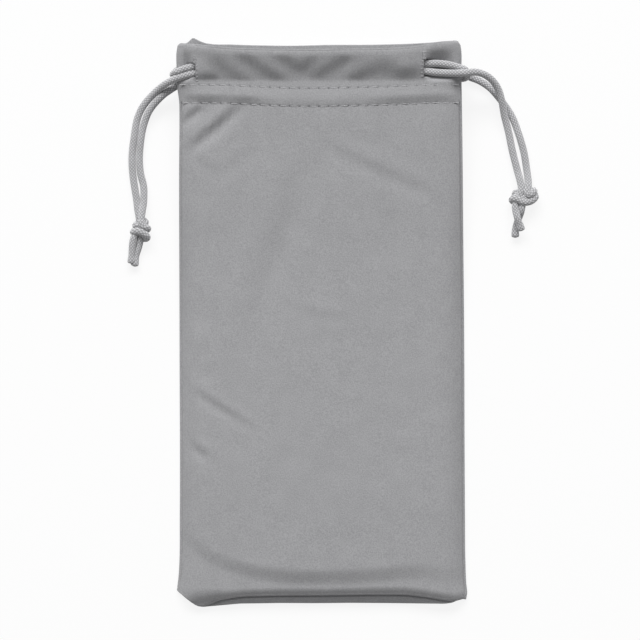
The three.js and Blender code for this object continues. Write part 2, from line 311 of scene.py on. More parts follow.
def through(points, step=0.5):
    """A smooth line through the points, with a point at every step."""
    points = np.array(points, float)
    padded = np.vstack([2 * points[0] - points[1], points, 2 * points[-1] - points[-2]])
    gaps = np.sqrt(np.linalg.norm(np.diff(padded, axis=0), axis=1))
    knots = np.concatenate([[0], np.cumsum(gaps)])
    fine = []
    for i in range(1, len(padded) - 2):
        t0, t1, t2, t3 = knots[i - 1 : i + 3]
        p0, p1, p2, p3 = padded[i - 1 : i + 3]
        t = np.linspace(t1, t2, 24, endpoint=False)[:, None]
        a1 = (t1 - t) / (t1 - t0) * p0 + (t - t0) / (t1 - t0) * p1
        a2 = (t2 - t) / (t2 - t1) * p1 + (t - t1) / (t2 - t1) * p2
        a3 = (t3 - t) / (t3 - t2) * p2 + (t - t2) / (t3 - t2) * p3
        b1 = (t2 - t) / (t2 - t0) * a1 + (t - t0) / (t2 - t0) * a2
        b2 = (t3 - t) / (t3 - t1) * a2 + (t - t1) / (t3 - t1) * a3
        fine.append((t2 - t) / (t2 - t1) * b1 + (t - t1) / (t2 - t1) * b2)
    line = np.vstack(fine + [points[-1:]])
    along = distances_along(line)
    count = max(2, int(round(along[-1] / step)) + 1)
    marks = np.linspace(0, along[-1], count)
    return np.stack([np.interp(marks, along, line[:, k]) for k in range(3)], axis=1)


def length_of(line):
    """The line's length, in the line's own unit."""
    return float(np.linalg.norm(np.diff(line, axis=0), axis=1).sum())


def frames_along(line):
    """A sideways and an upward direction at each point, turning as little as possible."""
    tangents = np.gradient(line, axis=0)
    tangents /= np.linalg.norm(tangents, axis=1)[:, None]
    up = np.array([0.0, 0.0, 1.0])
    if abs(tangents[0] @ up) > 0.9:
        up = np.array([0.0, 1.0, 0.0])
    sides, ups = [], []
    for tangent in tangents:
        side = np.cross(tangent, up)
        side /= np.linalg.norm(side)
        up = np.cross(side, tangent)
        sides.append(side)
        ups.append(up)
    return np.array(sides), np.array(ups)


corner = through([(0, 0, 0), (10, 0, 0), (10, 10, 0)])
print("a rounded corner:", len(corner), "points,", round(length_of(corner), 1), "mm")


# %% Tubes
def tube_parts(line, radius, sides=20, start_round=0.0, end_round=0.0, first_mark=0.0, swell=None):
    """Points, faces and UVs of a tube with closed ends, which may be rounded over a length.

    swell, if given, changes the radius: a function of the distance that is left to the end.
    """
    along = distances_along(line)
    side, up = frames_along(line)
    radii = np.full(len(line), 1.0)
    for distance, length in ((along, start_round), (along[-1] - along, end_round)):
        if length:
            inside = np.clip(1 - distance / length, 0, 1)
            radii *= np.sqrt(np.clip(1 - inside**2, 0.04, 1))
    if swell is not None:
        radii *= swell(along[-1] - along)
    angles = np.arange(sides) / sides * 2 * math.pi
    reach = radius * radii[:, None, None]
    rings = (
        line[:, None, :]
        + reach * np.cos(angles)[None, :, None] * side[:, None, :]
        + reach * np.sin(angles)[None, :, None] * up[:, None, :]
    )
    points = list(rings.reshape(-1, 3)) + [line[0], line[-1]]
    faces, uvs = [], []
    for i in range(len(line) - 1):
        v0, v1 = along[i] + first_mark, along[i + 1] + first_mark
        for j in range(sides):
            k = (j + 1) % sides
            faces.append((i * sides + j, i * sides + k, (i + 1) * sides + k, (i + 1) * sides + j))
            uvs += [(j / sides, v0), ((j + 1) / sides, v0), ((j + 1) / sides, v1), (j / sides, v1)]
    last = (len(line) - 1) * sides
    first_middle, last_middle = len(points) - 2, len(points) - 1
    for j in range(sides):
        k = (j + 1) % sides
        faces.append((first_middle, k, j))
        faces.append((last_middle, last + j, last + k))
        uvs += [(j / sides, along[0] + first_mark)] * 3 + [(j / sides, along[-1] + first_mark)] * 3
    return points, faces, uvs


print("a tube along that corner:", len(tube_parts(corner, 1.0)[1]), "faces")


# %% Pieces
def make_piece(name, points, faces, material, uvs=None):
    """A smooth mesh object at the origin from points in mm."""
    mesh = bpy.data.meshes.new(name)
    mesh.from_pydata([tuple(float(v) * MM for v in p) for p in points], [], faces)
    if uvs is not None:
        layer = mesh.uv_layers.new(name="UVMap")
        layer.data.foreach_set("uv", np.array(uvs, np.float32).ravel())
    mesh.materials.append(material)
    mesh.polygons.foreach_set("use_smooth", [True] * len(mesh.polygons))
    mesh.update()
    piece = bpy.data.objects.new(name, mesh)
    bpy.context.scene.collection.objects.link(piece)
    return piece


def joined_tubes(name, tubes, material):
    """Several tubes in one piece."""
    points, faces, uvs = [], [], []
    for part_points, part_faces, part_uvs in tubes:
        shift = len(points)
        points += list(part_points)
        faces += [tuple(i + shift for i in face) for face in part_faces]
        uvs += part_uvs
    return make_piece(name, points, faces, material, uvs)


print("1 mm is", MM, "of Blender's metres")

# %% [markdown]
# ## The cord's braid
#
# The drawstrings are round braided cord: strands cross over and under each other in two spirals.
# Two families of slanting waves round the UV map give a diamond at every crossing. The diamonds
# raise the surface through a Bump node, and the gaps between them are painted darker, as painted
# shade between the strands; two noises add a tone that differs at random.

# %% Cord material
CORD_DIAMETER = 2.3
CORD_RADIUS = CORD_DIAMETER / 2
STRANDS_ROUND = 7  # strands of one spiral, counted round the cord
STRAND_PITCH = 1.1  # mm along the cord
CORD_SHADE = 199


def braided_cord(name, shade):
    material, tree, shader = new_material(name, 0.75)
    uv = tree.node("ShaderNodeTexCoord", output="UV")
    parts = tree.node("ShaderNodeSeparateXYZ", {}, {0: uv})
    around, along = parts.out("X"), parts.out("Y")
    turn = around * (STRANDS_ROUND * 2 * math.pi)
    climb = along * (2 * math.pi / STRAND_PITCH)
    right = tree.sine((turn + climb) * 0.5)
    left = tree.sine((turn - climb) * 0.5)
    raised = (right * right * left * left) ** 0.4
    place = tree.node("ShaderNodeTexCoord", output="Object")
    fuzz = tree.noise(place, 2600.0)
    slow = tree.noise(place, 260.0, detail=1.0)
    tone = raised * 0.62 + fuzz * 0.28 + slow * 0.18
    # painted shade: the low gaps between the braid's diamonds get the darker grey
    colour = tree.mix(tree.ease(tone, 0.2, 0.9), grey(shade - 46), grey(shade + 17))
    connect(shader, "Base Color", colour)
    connect(shader, "Normal", tree.bump(0.42, 0.0002, raised + fuzz * 0.3))
    shader.inputs["Diffuse Roughness"].default_value = 1.0
    shader.inputs["Sheen Weight"].default_value = 0.2
    shader.inputs["Sheen Roughness"].default_value = 0.5
    return material


cord_material = braided_cord("braided_cord", CORD_SHADE)
print("braid:", STRANDS_ROUND, "strands round,", STRAND_PITCH, "mm apart along the cord")

# %% [markdown]
# ## Where the cords lie
#
# There are two drawstrings. Each one leaves the mouth on its own side through a slit in the front
# and a slit in the back, and its ends are tied in one knot. On the way it runs through both
# casings and loops round the other end of the mouth. The free stretches follow the photo, and
# their length is what the photo shows. `seen` gives each point's place; the heights come from what
# the cord rests on: the mouth end, the other cord, or the floor.

# %% The strands' routes
CASING_Z = 10.05  # the cord's middle in the front casing
BACK_Z = 1.95  # and in the back casing
REST_Z = 1.2  # and on the floor
LOWER_LANE, UPPER_LANE = 79.7, 82.5  # of the cords in the casing, up from the middle
FRONT_SLIT = {"left": 38.9, "right": 32.7}  # to each side of the middle
BACK_SLIT = 36.0

left_front_route = [
    (-11.5, 79.4, CASING_Z), (-20, 79.4, CASING_Z), (-30, 79.4, CASING_Z),
    (-36.5, 79.7, CASING_Z),
    *seen_all(
        (196.5, 72.6, 10.1), (184.3, 75.7, 9.8), (172.6, 80.0, 8.1), (161, 87.4, 4.7),
        (151.5, 96, 2.6), (143.2, 106.1, 1.6), (137.6, 118, 1.25), (133.9, 138.5, REST_Z),
        (132, 157.6, REST_Z), (133.1, 176.7, REST_Z), (136.3, 197.5, 1.25), (137.9, 210, 1.6),
        (139.3, 219, 2.0), (139.4, 226, 2.0),
    ),
]
left_back_route = [
    (-10, 79.3, BACK_Z), (-20, 79.3, BACK_Z), (-30, 79.3, BACK_Z), (-34.5, 79.3, BACK_Z),
    (-38.5, 78.9, 1.75), (-42, 77.6, 1.8),
    *seen_all(
        (176.6, 86, 3.1), (169.6, 90.3, 3.6), (162.6, 95.4, 3.5), (149.9, 109.7, 2.2),
        (143.5, 125.7, 1.4), (140.3, 144.8, REST_Z), (139.4, 160.8, REST_Z),
        (140.6, 173.5, REST_Z), (143.6, 186.3, 1.3), (143.6, 202.2, 1.9), (142.2, 211, 2.7),
        (141.4, 218, 3.35), (141.6, 224, 3.5),
    ),
]
right_front_route = [
    (4.7, 79.6, CASING_Z), (14, 79.6, CASING_Z), (23, 79.7, CASING_Z), (29.5, 80.2, CASING_Z),
    *seen_all(
        (424.4, 71.0, 10.3), (436.8, 72.5, 10.4), (450.2, 73.1, 10.6), (463.6, 73.0, 11.0),
        (477, 72.2, 10.0), (486.6, 75.8, 8.3), (494.2, 82.5, 6.5), (499, 91.1, 5.1),
        (502, 102, 3.9), (504.5, 116, 2.4), (508.5, 132, 1.4), (512.4, 151, REST_Z),
        (517.2, 170, 1.4), (520.2, 181, 2.3), (521.4, 188, 3.0), (520.2, 194, 3.4),
        (519, 198, 3.3),
    ),
]
right_back_route = [
    (8, 82.5, BACK_Z), (18, 82.5, BACK_Z), (28, 82.5, BACK_Z), (35, 82.5, BACK_Z),
    (40, 82.2, 1.65), (44, 80.8, 1.25),
    *seen_all(
        (469.3, 76.8, REST_Z), (478.9, 80.6, REST_Z), (489.4, 87.3, REST_Z), (500, 99, REST_Z),
        (511.6, 116, REST_Z), (518, 132, REST_Z), (523.6, 151, REST_Z), (526.8, 170, REST_Z),
        (528.2, 181, 2.1), (528.2, 187, 2.95), (527.6, 191.5, 3.3),
    ),
]
for title, route in (("left front", left_front_route), ("left back", left_back_route),
                     ("right front", right_front_route), ("right back", right_back_route)):
    print(title, "strand:", round(length_of(through(route)), 1), "mm")


# %% The loops' routes
def loop_route(sign, front_lane, hidden_x, slit_x, edge_points, back_lane):
    """Round a mouth end, from inside the front casing to inside the back casing."""
    start = [(sign * hidden_x, front_lane, CASING_Z), (sign * (slit_x - 2), front_lane, CASING_Z)]
    end = [(sign * BACK_SLIT, back_lane, BACK_Z), (sign * (BACK_SLIT - 6), back_lane, BACK_Z)]
    return start + edge_points + end


left_loop_route = loop_route(  # the left cord's loop, at the right
    1, 82.8, 24.5, 32.7,
    [*seen_all((424.4, 63.5, 10.4), (438.7, 63.5, 10.4), (450.2, 65.0, 10.2), (459.5, 67.7, 9.6)),
     (45.5, 80.6, 8.6), (46.2, 79.5, 7.3), (46.2, 78.6, 5.7), (45.2, 78.2, 4.1),
     (43.6, 78.3, 2.8), (41.8, 78.7, 2.15), (39.8, 79.1, 1.97)],
    LOWER_LANE,
)
right_loop_route = loop_route(  # the right cord's loop, at the left
    -1, 82.3, 31.5, 39.5,
    [*seen_all((194.2, 66.3, 10.3), (184, 69, 10.0), (177.6, 71.6, 9.3)),
     (-46.2, 79.9, 7.9), (-47.1, 79.3, 6.0), (-46.3, 80.4, 3.8), (-44.3, 81.7, 2.2),
     (-41, 82.4, 1.95)],
    UPPER_LANE,
)
for title, route in (("left", left_loop_route), ("right", right_loop_route)):
    print(title, "cord's loop:", round(length_of(through(route)), 1), "mm")

# %% [markdown]
# ## The knots
#
# Both ends of a drawstring are tied together in an overhand knot. On top of the strands lie the
# turns of the knot, and below it hang the two tails. A knot is a piece of its own here, made of
# the stretches of cord that show, each of which dives between the others at both ends.

# %% The left knot, as (column, row, height) places
left_knot_turns = [
    # the strand that comes down the middle and turns to the right
    [(141.4, 219, 4.0), (141.5, 223.2, 4.15), (143.4, 226.6, 4.1),
     (146.2, 227.7, 3.5), (147.4, 228.8, 2.3), (145, 230, 1.4)],
    # the big lower turn, from the left lobe down to the right one
    [(139, 229, 1.3), (135.2, 230.6, 1.4), (133.6, 231.9, 2.4), (134.8, 231.6, 3.5),
     (138.4, 231.2, 4.1), (142.4, 232.7, 4.2), (145.4, 235.2, 3.7),
     (146.8, 237.6, 2.5), (144.6, 238.2, 1.4), (141, 236, 1.2)],
    # the small lobe at the upper left
    [(143, 224.5, 1.3), (138.6, 224.2, 1.4), (136.0, 225.3, 2.1), (137.2, 225.6, 3.0),
     (140, 225.8, 3.1), (144, 227, 2.6)],
    # the nub at the upper right
    [(140.6, 225, 1.3), (143.2, 222.4, 1.7), (144.8, 221.4, 2.3), (144.6, 223.4, 2.9),
     (142, 225, 2.7)],
    # the heart of the knot, which only fills the gaps between the turns
    [(137, 226, 1.4), (140, 230, 1.9), (144, 234, 1.7)],
]
left_tail_routes = [
    [(137.4, 230, 2.4), (134.3, 236, 2.7), (132.5, 243, 2.5), (131.9, 251, 2.2),
     (131.6, 257, 1.9), (131.4, 263.8, 1.6)],
    [(141, 230, 2.2), (140.6, 238, 2.0), (139.0, 246, 1.4), (136.3, 255, REST_Z),
     (134.4, 266.6, REST_Z)],
]
print("left knot:", len(left_knot_turns), "stretches and", len(left_tail_routes), "tails")

# %% The right knot, as (column, row, height) places
right_knot_turns = [
    # the big turn across the front, from the left lobe round to the right one
    [(518, 201.5, 1.5), (514, 201.3, 1.7), (512.4, 199.7, 2.6), (514.2, 198.7, 3.6),
     (518.2, 199.4, 4.2), (523.2, 201.8, 4.3), (528.6, 201.7, 4.0),
     (533.0, 199.4, 3.4), (535.3, 196.3, 2.5), (533.6, 194.4, 1.5)],
    # a second turn close above it, which shows only at the left
    [(532, 197.2, 2.0), (527.4, 198.8, 3.2), (521.6, 198.2, 3.8), (516.8, 197.2, 3.6),
     (513.5, 198.2, 2.7), (515, 200, 1.6)],
    # the lobe at the upper right, in which the right strand ends
    [(528.2, 186.6, 3.3), (527.5, 191.5, 3.95), (528.3, 194.9, 4.3), (531.0, 194.2, 4.1),
     (533.2, 191.7, 3.2), (533.5, 190.9, 1.9), (530.5, 192.5, 1.4)],
    # the small lobe at the upper left
    [(523, 196.5, 1.4), (518.4, 195.6, 1.4), (515.6, 194.0, 1.9), (516.2, 193.0, 2.8),
     (519.6, 193.0, 3.0), (523, 195, 2.4)],
    # the heart of the knot, which only fills the gaps between the turns
    [(515.5, 197, 1.3), (521, 197.5, 1.9), (526, 197.5, 2.2), (531, 197, 1.7)],
]
right_tail_routes = [
    [(516.6, 199, 2.4), (515.3, 205, 3.0), (515.7, 211, 3.3), (517.3, 217.5, 3.8),
     (519.4, 223.6, 3.3), (521.8, 230.8, 2.5)],
    [(522.8, 199, 2.5), (522.2, 205.5, 3.05), (521.3, 210.8, 2.8), (519.4, 216.6, 1.7),
     (517.0, 222.5, REST_Z), (515.3, 229, REST_Z), (515.4, 237.8, REST_Z)],
]
print("right knot:", len(right_knot_turns), "stretches and", len(right_tail_routes), "tails")


# %% Cords, knots and tails as pieces
FINE_STEP = 0.3  # mm between the rings of a knot's turn or a tail
KNOT_RADIUS, TAIL_RADIUS = 1.2, 1.1
TURN_ROUNDING, TAIL_ROUNDING = 0.6, 0.55  # over which length their ends are rounded
KNOT_FLATTENING = 0.82
BRAID_SHIFT = 7.0  # between one turn of a knot and the next


def cord_piece(name, route):
    """A stretch of cord through the route, and its middle line."""
    line = through(route)
    points, faces, uvs = tube_parts(line, CORD_RADIUS)
    return make_piece(name, points, faces, cord_material, uvs), line


def tie_knot(name, turns):
    """A knot that was pulled tight and lies a little flattened on the floor."""
    tubes = []
    for i, turn in enumerate(turns):
        line = through(seen_all(*turn), FINE_STEP)
        line[:, 2] = REST_Z + np.clip(line[:, 2] - REST_Z, 0, None) * KNOT_FLATTENING
        ends = {"start_round": TURN_ROUNDING, "end_round": TURN_ROUNDING}
        tubes.append(tube_parts(line, KNOT_RADIUS, first_mark=BRAID_SHIFT * i, **ends))
    return joined_tubes(name, tubes, cord_material)


def melted_end(left):
    """A slight neck and then a bead, where the braid was melted so that it can't fray."""
    bead = 0.14 * np.exp(-(((left - 1.0) / 1.0) ** 2))
    neck = 0.05 * np.exp(-(((left - 3.6) / 1.2) ** 2))
    return 1 + bead - neck


def sealed_tail(name, places):
    """A tail of the knot, with a melted end."""
    line = through(seen_all(*places), FINE_STEP)
    points, faces, uvs = tube_parts(
        line, TAIL_RADIUS, sides=24, end_round=TAIL_ROUNDING, swell=melted_end
    )
    return make_piece(name, points, faces, cord_material, uvs)


print("a tail's melted bead:", round(TAIL_RADIUS * melted_end(1.0), 2), "mm in radius")


# %% Loose cords and hidden runs
def free_cord(exit_point):
    """Turns an exit point into metres, and keeps nothing of it."""
    tuple(v * MM for v in exit_point)


def hidden_run(body, face, line, nearest):
    """The stretch inside a casing, from this side's strand to the loop at the other side."""
    start, run = line[0], (nearest - line[0]) * [1, 0, 0]
    bridge = [start, start + 0.62 * run, nearest - 0.08 * run, nearest]
    piece, _ = cord_piece(f"{body}_{face}_run_cord", bridge)
    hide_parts(f"{body}_{face}_run")
    return piece


print("a loose cord is", CORD_DIAMETER, "mm thick")


# %% Lay both drawstrings
def lay_drawstring(side, routes, knot_turns, tail_routes, loop):
    """All pieces of one drawstring, each standing for its CAD solid."""
    body = f"{side}_drawstring"
    sign = -1 if side == "left" else 1
    far = "right" if side == "left" else "left"
    front, front_line = cord_piece(f"{body}_front_cord", routes["front"])
    back, back_line = cord_piece(f"{body}_back_cord", routes["back"])
    bend, bend_line = cord_piece(f"{body}_loop_cord", loop)
    knot = tie_knot(f"{body}_knot_turns", knot_turns)
    tails = [sealed_tail(f"{body}_tail_end_{i + 1}", r) for i, r in enumerate(tail_routes)]
    hidden = [
        hidden_run(body, "front", front_line, bend_line[0]),
        hidden_run(body, "back", back_line, bend_line[-1]),
    ]
    for piece in (front, back, bend, knot, *tails, *hidden):
        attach(piece, body)
    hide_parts(f"{body}_front_strand")
    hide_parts(f"{body}_back_strand")
    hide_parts(f"{body}_loop")
    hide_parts(f"{body}_knot")
    for i, tail in enumerate(tails):
        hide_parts(f"{body}_tail_{i + 1}")
    front_slit = (sign * FRONT_SLIT[side], routes["front"][3][1], CASING_Z)
    free_cord(front_slit)
    back_exit = (sign * BACK_SLIT, routes["back"][3][1], BACK_Z)
    free_cord(back_exit)
    far_slit = (-sign * FRONT_SLIT[far], loop[1][1], CASING_Z)
    free_cord(far_slit)
    print(body, "cords:", round(length_of(front_line)), round(length_of(back_line)), "mm")


lay_drawstring("left", {"front": left_front_route, "back": left_back_route}, left_knot_turns,
               left_tail_routes, left_loop_route)
lay_drawstring("right", {"front": right_front_route, "back": right_back_route}, right_knot_turns,
               right_tail_routes, right_loop_route)

# %% [markdown]
# ## The shape of the cloth
#
# The pouch is a flat tube of cloth, closed at the bottom and open at the top, where both panels
# are folded over into casings. A grid that goes round the tube and up it describes all of that:
# up the outside, over the top fold, and down again inside as the cloth's other face. The heights
# are formulas: the crown that the CAD panels have, the profile of the casing, the rolled bottom.
# A simulation wasn't used, because each fold has to be where the photo shows it.

# %% Curves through a few values
def ease(low, high, value):
    """0 up to low, 1 from high on, and a smooth step between."""
    t = np.clip((value - low) / (high - low), 0, 1)
    return t * t * (3 - 2 * t)


def bell(distance, width):
    """1 at no distance, and nearly 0 from twice the width on."""
    return np.exp(-((distance / width) ** 2))


def curve(table, value):
    """A smooth curve through (position, value) pairs."""
    xs, ys = np.array(table, float).T
    slopes = np.gradient(ys, xs)
    i = np.clip(np.searchsorted(xs, value) - 1, 0, len(xs) - 2)
    width = xs[i + 1] - xs[i]
    t = np.clip((value - xs[i]) / width, 0, 1)
    return (
        (2 * t**3 - 3 * t**2 + 1) * ys[i]
        + (t**3 - 2 * t**2 + t) * width * slopes[i]
        + (3 * t**2 - 2 * t**3) * ys[i + 1]
        + (t**3 - t**2) * width * slopes[i + 1]
    )


print("a smooth step at a quarter of its way:", float(ease(0, 1, 0.25)))


# %% The outline, in mm
HALF_WIDTH, HALF_HEIGHT = 45.0, 89.0
CLOTH = 0.6  # thickness
LEFT_EDGE = [
    (-89, -43.6), (-88, -44.9), (-87.1, -45.95), (-86, -45.95), (-83, -45.65), (-78, -45.35),
    (-60, -45.15), (0, -45.25), (50, -45.2), (66, -45.05), (70, -45.1), (76, -45.85),
    (80, -45.92), (87.3, -45.8), (88.2, -45.6), (88.6, -45.3), (89, -44.8),
]
RIGHT_EDGE = [
    (-89, 46.2), (-87, 46.55), (-84, 46.3), (-76, 46.0), (-60, 45.85), (-40, 45.74), (0, 45.58),
    (30, 45.2), (60, 44.8), (80, 44.45), (87.3, 44.3), (88.2, 44.1), (88.6, 43.8), (89, 43.3),
]
BOTTOM_EDGE = [
    (-45, -87.0), (-43.5, -88.15), (-42, -89.35), (-41, -89.95), (-39.5, -90.25), (-37, -90.1),
    (-34, -89.7), (-30, -89.4), (-25, -89.2), (0, -89.1), (20, -88.95), (34, -89.15),
    (39, -89.2), (41, -88.8), (43, -87.8), (45, -87.9),
]
TOP_FRONT = [
    (-45, 89.3), (-43.5, 89.05), (-41, 88.75), (-38, 88.4), (-36, 88.1), (-34, 87.85),
    (-29, 87.4), (-22, 87.1), (-10, 86.9), (0, 86.9), (9, 87.05), (20, 87.2), (28, 87.6),
    (31, 87.95), (34.5, 88.55), (38, 89.0), (41, 89.45), (43, 89.85), (44.3, 89.85), (45, 89.4),
]
TOP_BACK = [
    (-45, 88.95), (-43.6, 89.3), (-43.0, 89.35), (-42.0, 90.0), (-41.4, 90.6), (-40.8, 91.1),
    (-40.1, 90.95), (-39.2, 90.45), (-38.2, 90.0), (-37.1, 89.65), (-34.7, 89.25), (-29, 89.12),
    (-22.7, 88.9), (-16, 88.78), (-10, 88.72), (-5, 88.8), (3, 89.0), (9, 89.0), (15.5, 89.03),
    (22, 89.17), (28, 89.33), (34.6, 89.66), (37.7, 89.85), (40.9, 90.1), (43, 90.15),
    (44.3, 90.0), (45, 89.5),
]
ROW_SAG = [
    (-45, 0.4), (-39.8, 0.33), (-28.7, 0.1), (-19.8, -0.33), (-13.5, -0.64), (-5.9, -0.83),
    (2.4, -0.78), (8.4, -0.62), (15.2, -0.44), (20.6, -0.25), (27.9, 0.03), (34.1, 0.3),
    (45, 0.5),
]


def laid_out(a, b, share_of_back):
    """Where a point (a, b) of the plain 90 x 178 rectangle lies on the real outline."""
    x = a + np.where(
        a < 0,
        (curve(LEFT_EDGE, b) + HALF_WIDTH) * ease(18, 44, -a),
        (curve(RIGHT_EDGE, b) - HALF_WIDTH) * ease(18, 44, a),
    )
    top = curve(TOP_FRONT, a) * (1 - share_of_back) + curve(TOP_BACK, a) * share_of_back
    y = b + (curve(BOTTOM_EDGE, a) + HALF_HEIGHT) * ease(-72, -88, b)
    y = y + (top - HALF_HEIGHT) * ease(78, 88, b)
    sag = curve(ROW_SAG, a) * ease(56, 69, b) * (1 - ease(76, 80, b))
    return x, y + sag * (1 - share_of_back)


print("top edge, from", min(y for _, y in TOP_FRONT), "to", max(y for _, y in TOP_BACK), "mm")

# %% [markdown]
# ### Creases and puckers
#
# Real cloth is never quite smooth. A crease is a valley along a line, with a small ridge beside
# it. A pucker is a small dimple, here beside the left seam. Slow waves of several sizes do the
# rest. Most of them move the surface up or down by a few tenths of a millimetre, and the deepest
# crease by one.

# %% One crease
PANEL_Z = 9.0  # about how high the front lies, to find a pixel's place on it


def from_photo(column, row):
    """The place (x, y) on the front that the photo shows at this pixel."""
    return seen(column, row, PANEL_Z)[:2]


def crease(x, y, pixels, depth, width, lean):
    """A valley along a line of pixels; lean is the size of the ridge at its upper side."""
    points = np.array([from_photo(*p) for p in pixels])
    best = np.full(x.shape, 1e9)
    signed = np.zeros(x.shape)
    share = np.zeros(x.shape)
    lengths = np.linalg.norm(np.diff(points, axis=0), axis=1)
    total, done = lengths.sum(), 0.0
    for start, end, length in zip(points[:-1], points[1:], lengths):
        d = (end - start) / length
        px, py = x - start[0], y - start[1]
        t = np.clip(px * d[0] + py * d[1], 0, length)
        off_x, off_y = px - t * d[0], py - t * d[1]
        away = np.hypot(off_x, off_y)
        nearer = away < best
        best = np.where(nearer, away, best)
        across = off_y * d[0] - off_x * d[1]
        signed = np.where(nearer, np.sign(across) * away, signed)
        share = np.where(nearer, (done + t) / total, share)
        done += length
    taper = np.sin(np.pi * np.clip(share, 0.02, 0.98)) ** 0.7
    u = signed / width
    return depth * taper * (lean * bell(u - 1.7, 1.0) - bell(u, 1.0))


print("the picture's middle shows", [round(v, 2) for v in from_photo(320, 320)], "mm")


# %% Dimples and waves
def pucker(x, y, column, row, size, depth):
    """A dimple at a pixel, with its half width and half height in mm."""
    middle_x, middle_y = from_photo(column, row)
    return -depth * np.exp(-(((x - middle_x) / size[0]) ** 2) - ((y - middle_y) / size[1]) ** 2)


def slow_waves(x, y, size, seed):
    """Gentle unevenness with bumps of about this size, mostly between -1 and 1."""
    random = np.random.default_rng(seed)
    total = np.zeros(x.shape)
    for _ in range(7):
        angle, phase = random.uniform(0, math.pi), random.uniform(0, 2 * math.pi)
        pitch = size * random.uniform(0.75, 1.5)
        total += np.sin(
            (x * math.cos(angle) + y * math.sin(angle)) * 2 * math.pi / pitch + phase
        )
    return total / 4


across = np.linspace(-45, 45, 7)
print("slow waves across the middle:", slow_waves(across, 0 * across, 34, 3).round(2))


# %% Where the creases and dimples are
CREASES = [  # line of pixels, depth and half width in mm, size of the ridge beside it
    ([(182, 156), (193, 148), (205, 139), (218, 129), (231, 117), (244, 105)], 0.9, 1.8, 0.5),
    ([(318, 144), (350, 161), (395, 181), (438, 200)], 0.28, 2.2, 0.6),
    ([(254, 345), (267, 290), (285, 239), (302, 189), (321, 146)], 0.5, 4.8, 0.4),
    ([(268, 290), (280, 250), (292, 212)], 0.2, 3.6, 0.3),
    ([(283, 308), (318, 318), (352, 320)], 0.12, 1.8, 0.5),
    ([(186, 388), (203, 400), (230, 417), (256, 433)], 0.40, 1.5, 0.6),
    ([(188, 444), (196, 452), (207, 460)], 0.5, 1.5, 0.6),
    ([(173, 119), (184, 123), (192, 117), (203, 108)], 1.0, 1.5, 0.4),
    ([(182, 153), (198, 163), (216, 176)], 0.15, 1.8, 0.5),
    ([(214, 178), (236, 166), (256, 150)], 0.15, 2.2, 0.5),
]
PUCKERS = [  # column, row, (half width, half height) and depth in mm
    (201, 320, (3.5, 3.8), 0.24), (200, 353, (3.0, 2.6), 0.16), (209, 375, (4.0, 2.6), 0.14),
]
CASING_FOLDS = [  # two ends in pixels, half width in pixels, strength
    ((190, 50), (202, 53), 4.0, 0.8), ((196, 77), (212, 77), 5.0, 2.7),
    ((214, 60), (240, 79), 7.6, 1.3), ((243, 56), (277, 78), 6.4, 1.6),
    ((279, 57), (300, 67), 6.4, 1.3), ((300, 67), (312, 61), 6.4, 1.0),
    ((318, 74), (346, 58), 6.4, 1.4), ((352, 78), (371, 72), 6.4, 1.1),
    ((371, 66), (394, 64), 7.0, 0.9), ((386, 71), (404, 73), 7.0, 0.9),
    ((402, 74), (432, 69), 7.4, 2.1),
]
print("creases:", len(CREASES), "dimples:", len(PUCKERS), "casing folds:", len(CASING_FOLDS))

# %% How the casing rises in its folds
FOLD_STRENGTH = 1.12
CASING_TOP = 12  # about how high the casing lies
RISE_START, RISE_STEP = (-46, 76), (0.5, 0.1)  # of the table, in mm across and up


def rise_table():
    """How much of the casing's rise is done at each place, from its seam (0) to its ridge (1).

    The steep parts of a fold look dark. So the folds are places where the cloth rises faster, and
    between them, in the same column, it rises more slowly.
    """
    across = np.arange(RISE_START[0], 46.1, RISE_STEP[0])
    x, y = np.meshgrid(across, np.arange(RISE_START[1], 90.05, RISE_STEP[1]), indexing="ij")
    scale = PIXEL * (CAMERA_HEIGHT - CASING_TOP) / (CAMERA_HEIGHT - LEVEL)
    column = 320 + (x - frame_middle[0]) / scale
    row = 320 - (y - frame_middle[1]) / scale
    slope = np.full(x.shape, 1.0)
    for start, end, width, strength in CASING_FOLDS:
        d = np.subtract(end, start)
        t = np.clip(((column - start[0]) * d[0] + (row - start[1]) * d[1]) / (d @ d), 0, 1)
        away = np.hypot(column - start[0] - t * d[0], row - start[1] - t * d[1])
        slope += FOLD_STRENGTH * strength * bell(away, width)
    top = curve(TOP_FRONT, x) - 0.7
    slope *= ease(76.3, 78.0, y) * (1 - ease(top - 2.2, top, y))
    rise = np.cumsum(slope, axis=1)
    return rise / rise[:, -1:]


RISE = rise_table()
print("table of the casing's rise:", RISE.shape[0], "by", RISE.shape[1], "values")


def casing_rise(x, y):
    """The table's value at a place, from the four values round it."""
    i = np.clip((x - RISE_START[0]) / RISE_STEP[0], 0, RISE.shape[0] - 1.001)
    j = np.clip((y - RISE_START[1]) / RISE_STEP[1], 0, RISE.shape[1] - 1.001)
    i0, j0 = np.floor(i).astype(int), np.floor(j).astype(int)
    u, v = i - i0, j - j0
    lower = RISE[i0, j0] * (1 - u) + RISE[i0 + 1, j0] * u
    upper = RISE[i0, j0 + 1] * (1 - u) + RISE[i0 + 1, j0 + 1] * u
    return lower * (1 - v) + upper * v


# %% All the unevenness together
def unevenness(x, y, b):
    """How far the front's surface is moved up or down, in mm."""
    total = 0.09 * slow_waves(x, y, 34, 3) + 0.03 * slow_waves(x, y, 13, 5)
    for numbers in CREASES:
        total += crease(x, y, *numbers)
    for numbers in PUCKERS:
        total += pucker(x, y, *numbers)
    in_casing = ease(76.6, 78.5, b) * (1 - ease(85.5, 88, b))
    total += in_casing * 0.05 * slow_waves(x, 0.6 * y, 9, 11)
    hem = ease(66, 69, b) * (1 - ease(76, 79, b))
    total += hem * 0.06 * slow_waves(x, 0.35 * y, 8, 17)
    return total


up = np.linspace(-80, 60, 200)
moved = unevenness(0 * up, up, up)
print("up the middle the panel moves by", moved.min().round(2), "to", moved.max().round(2), "mm")

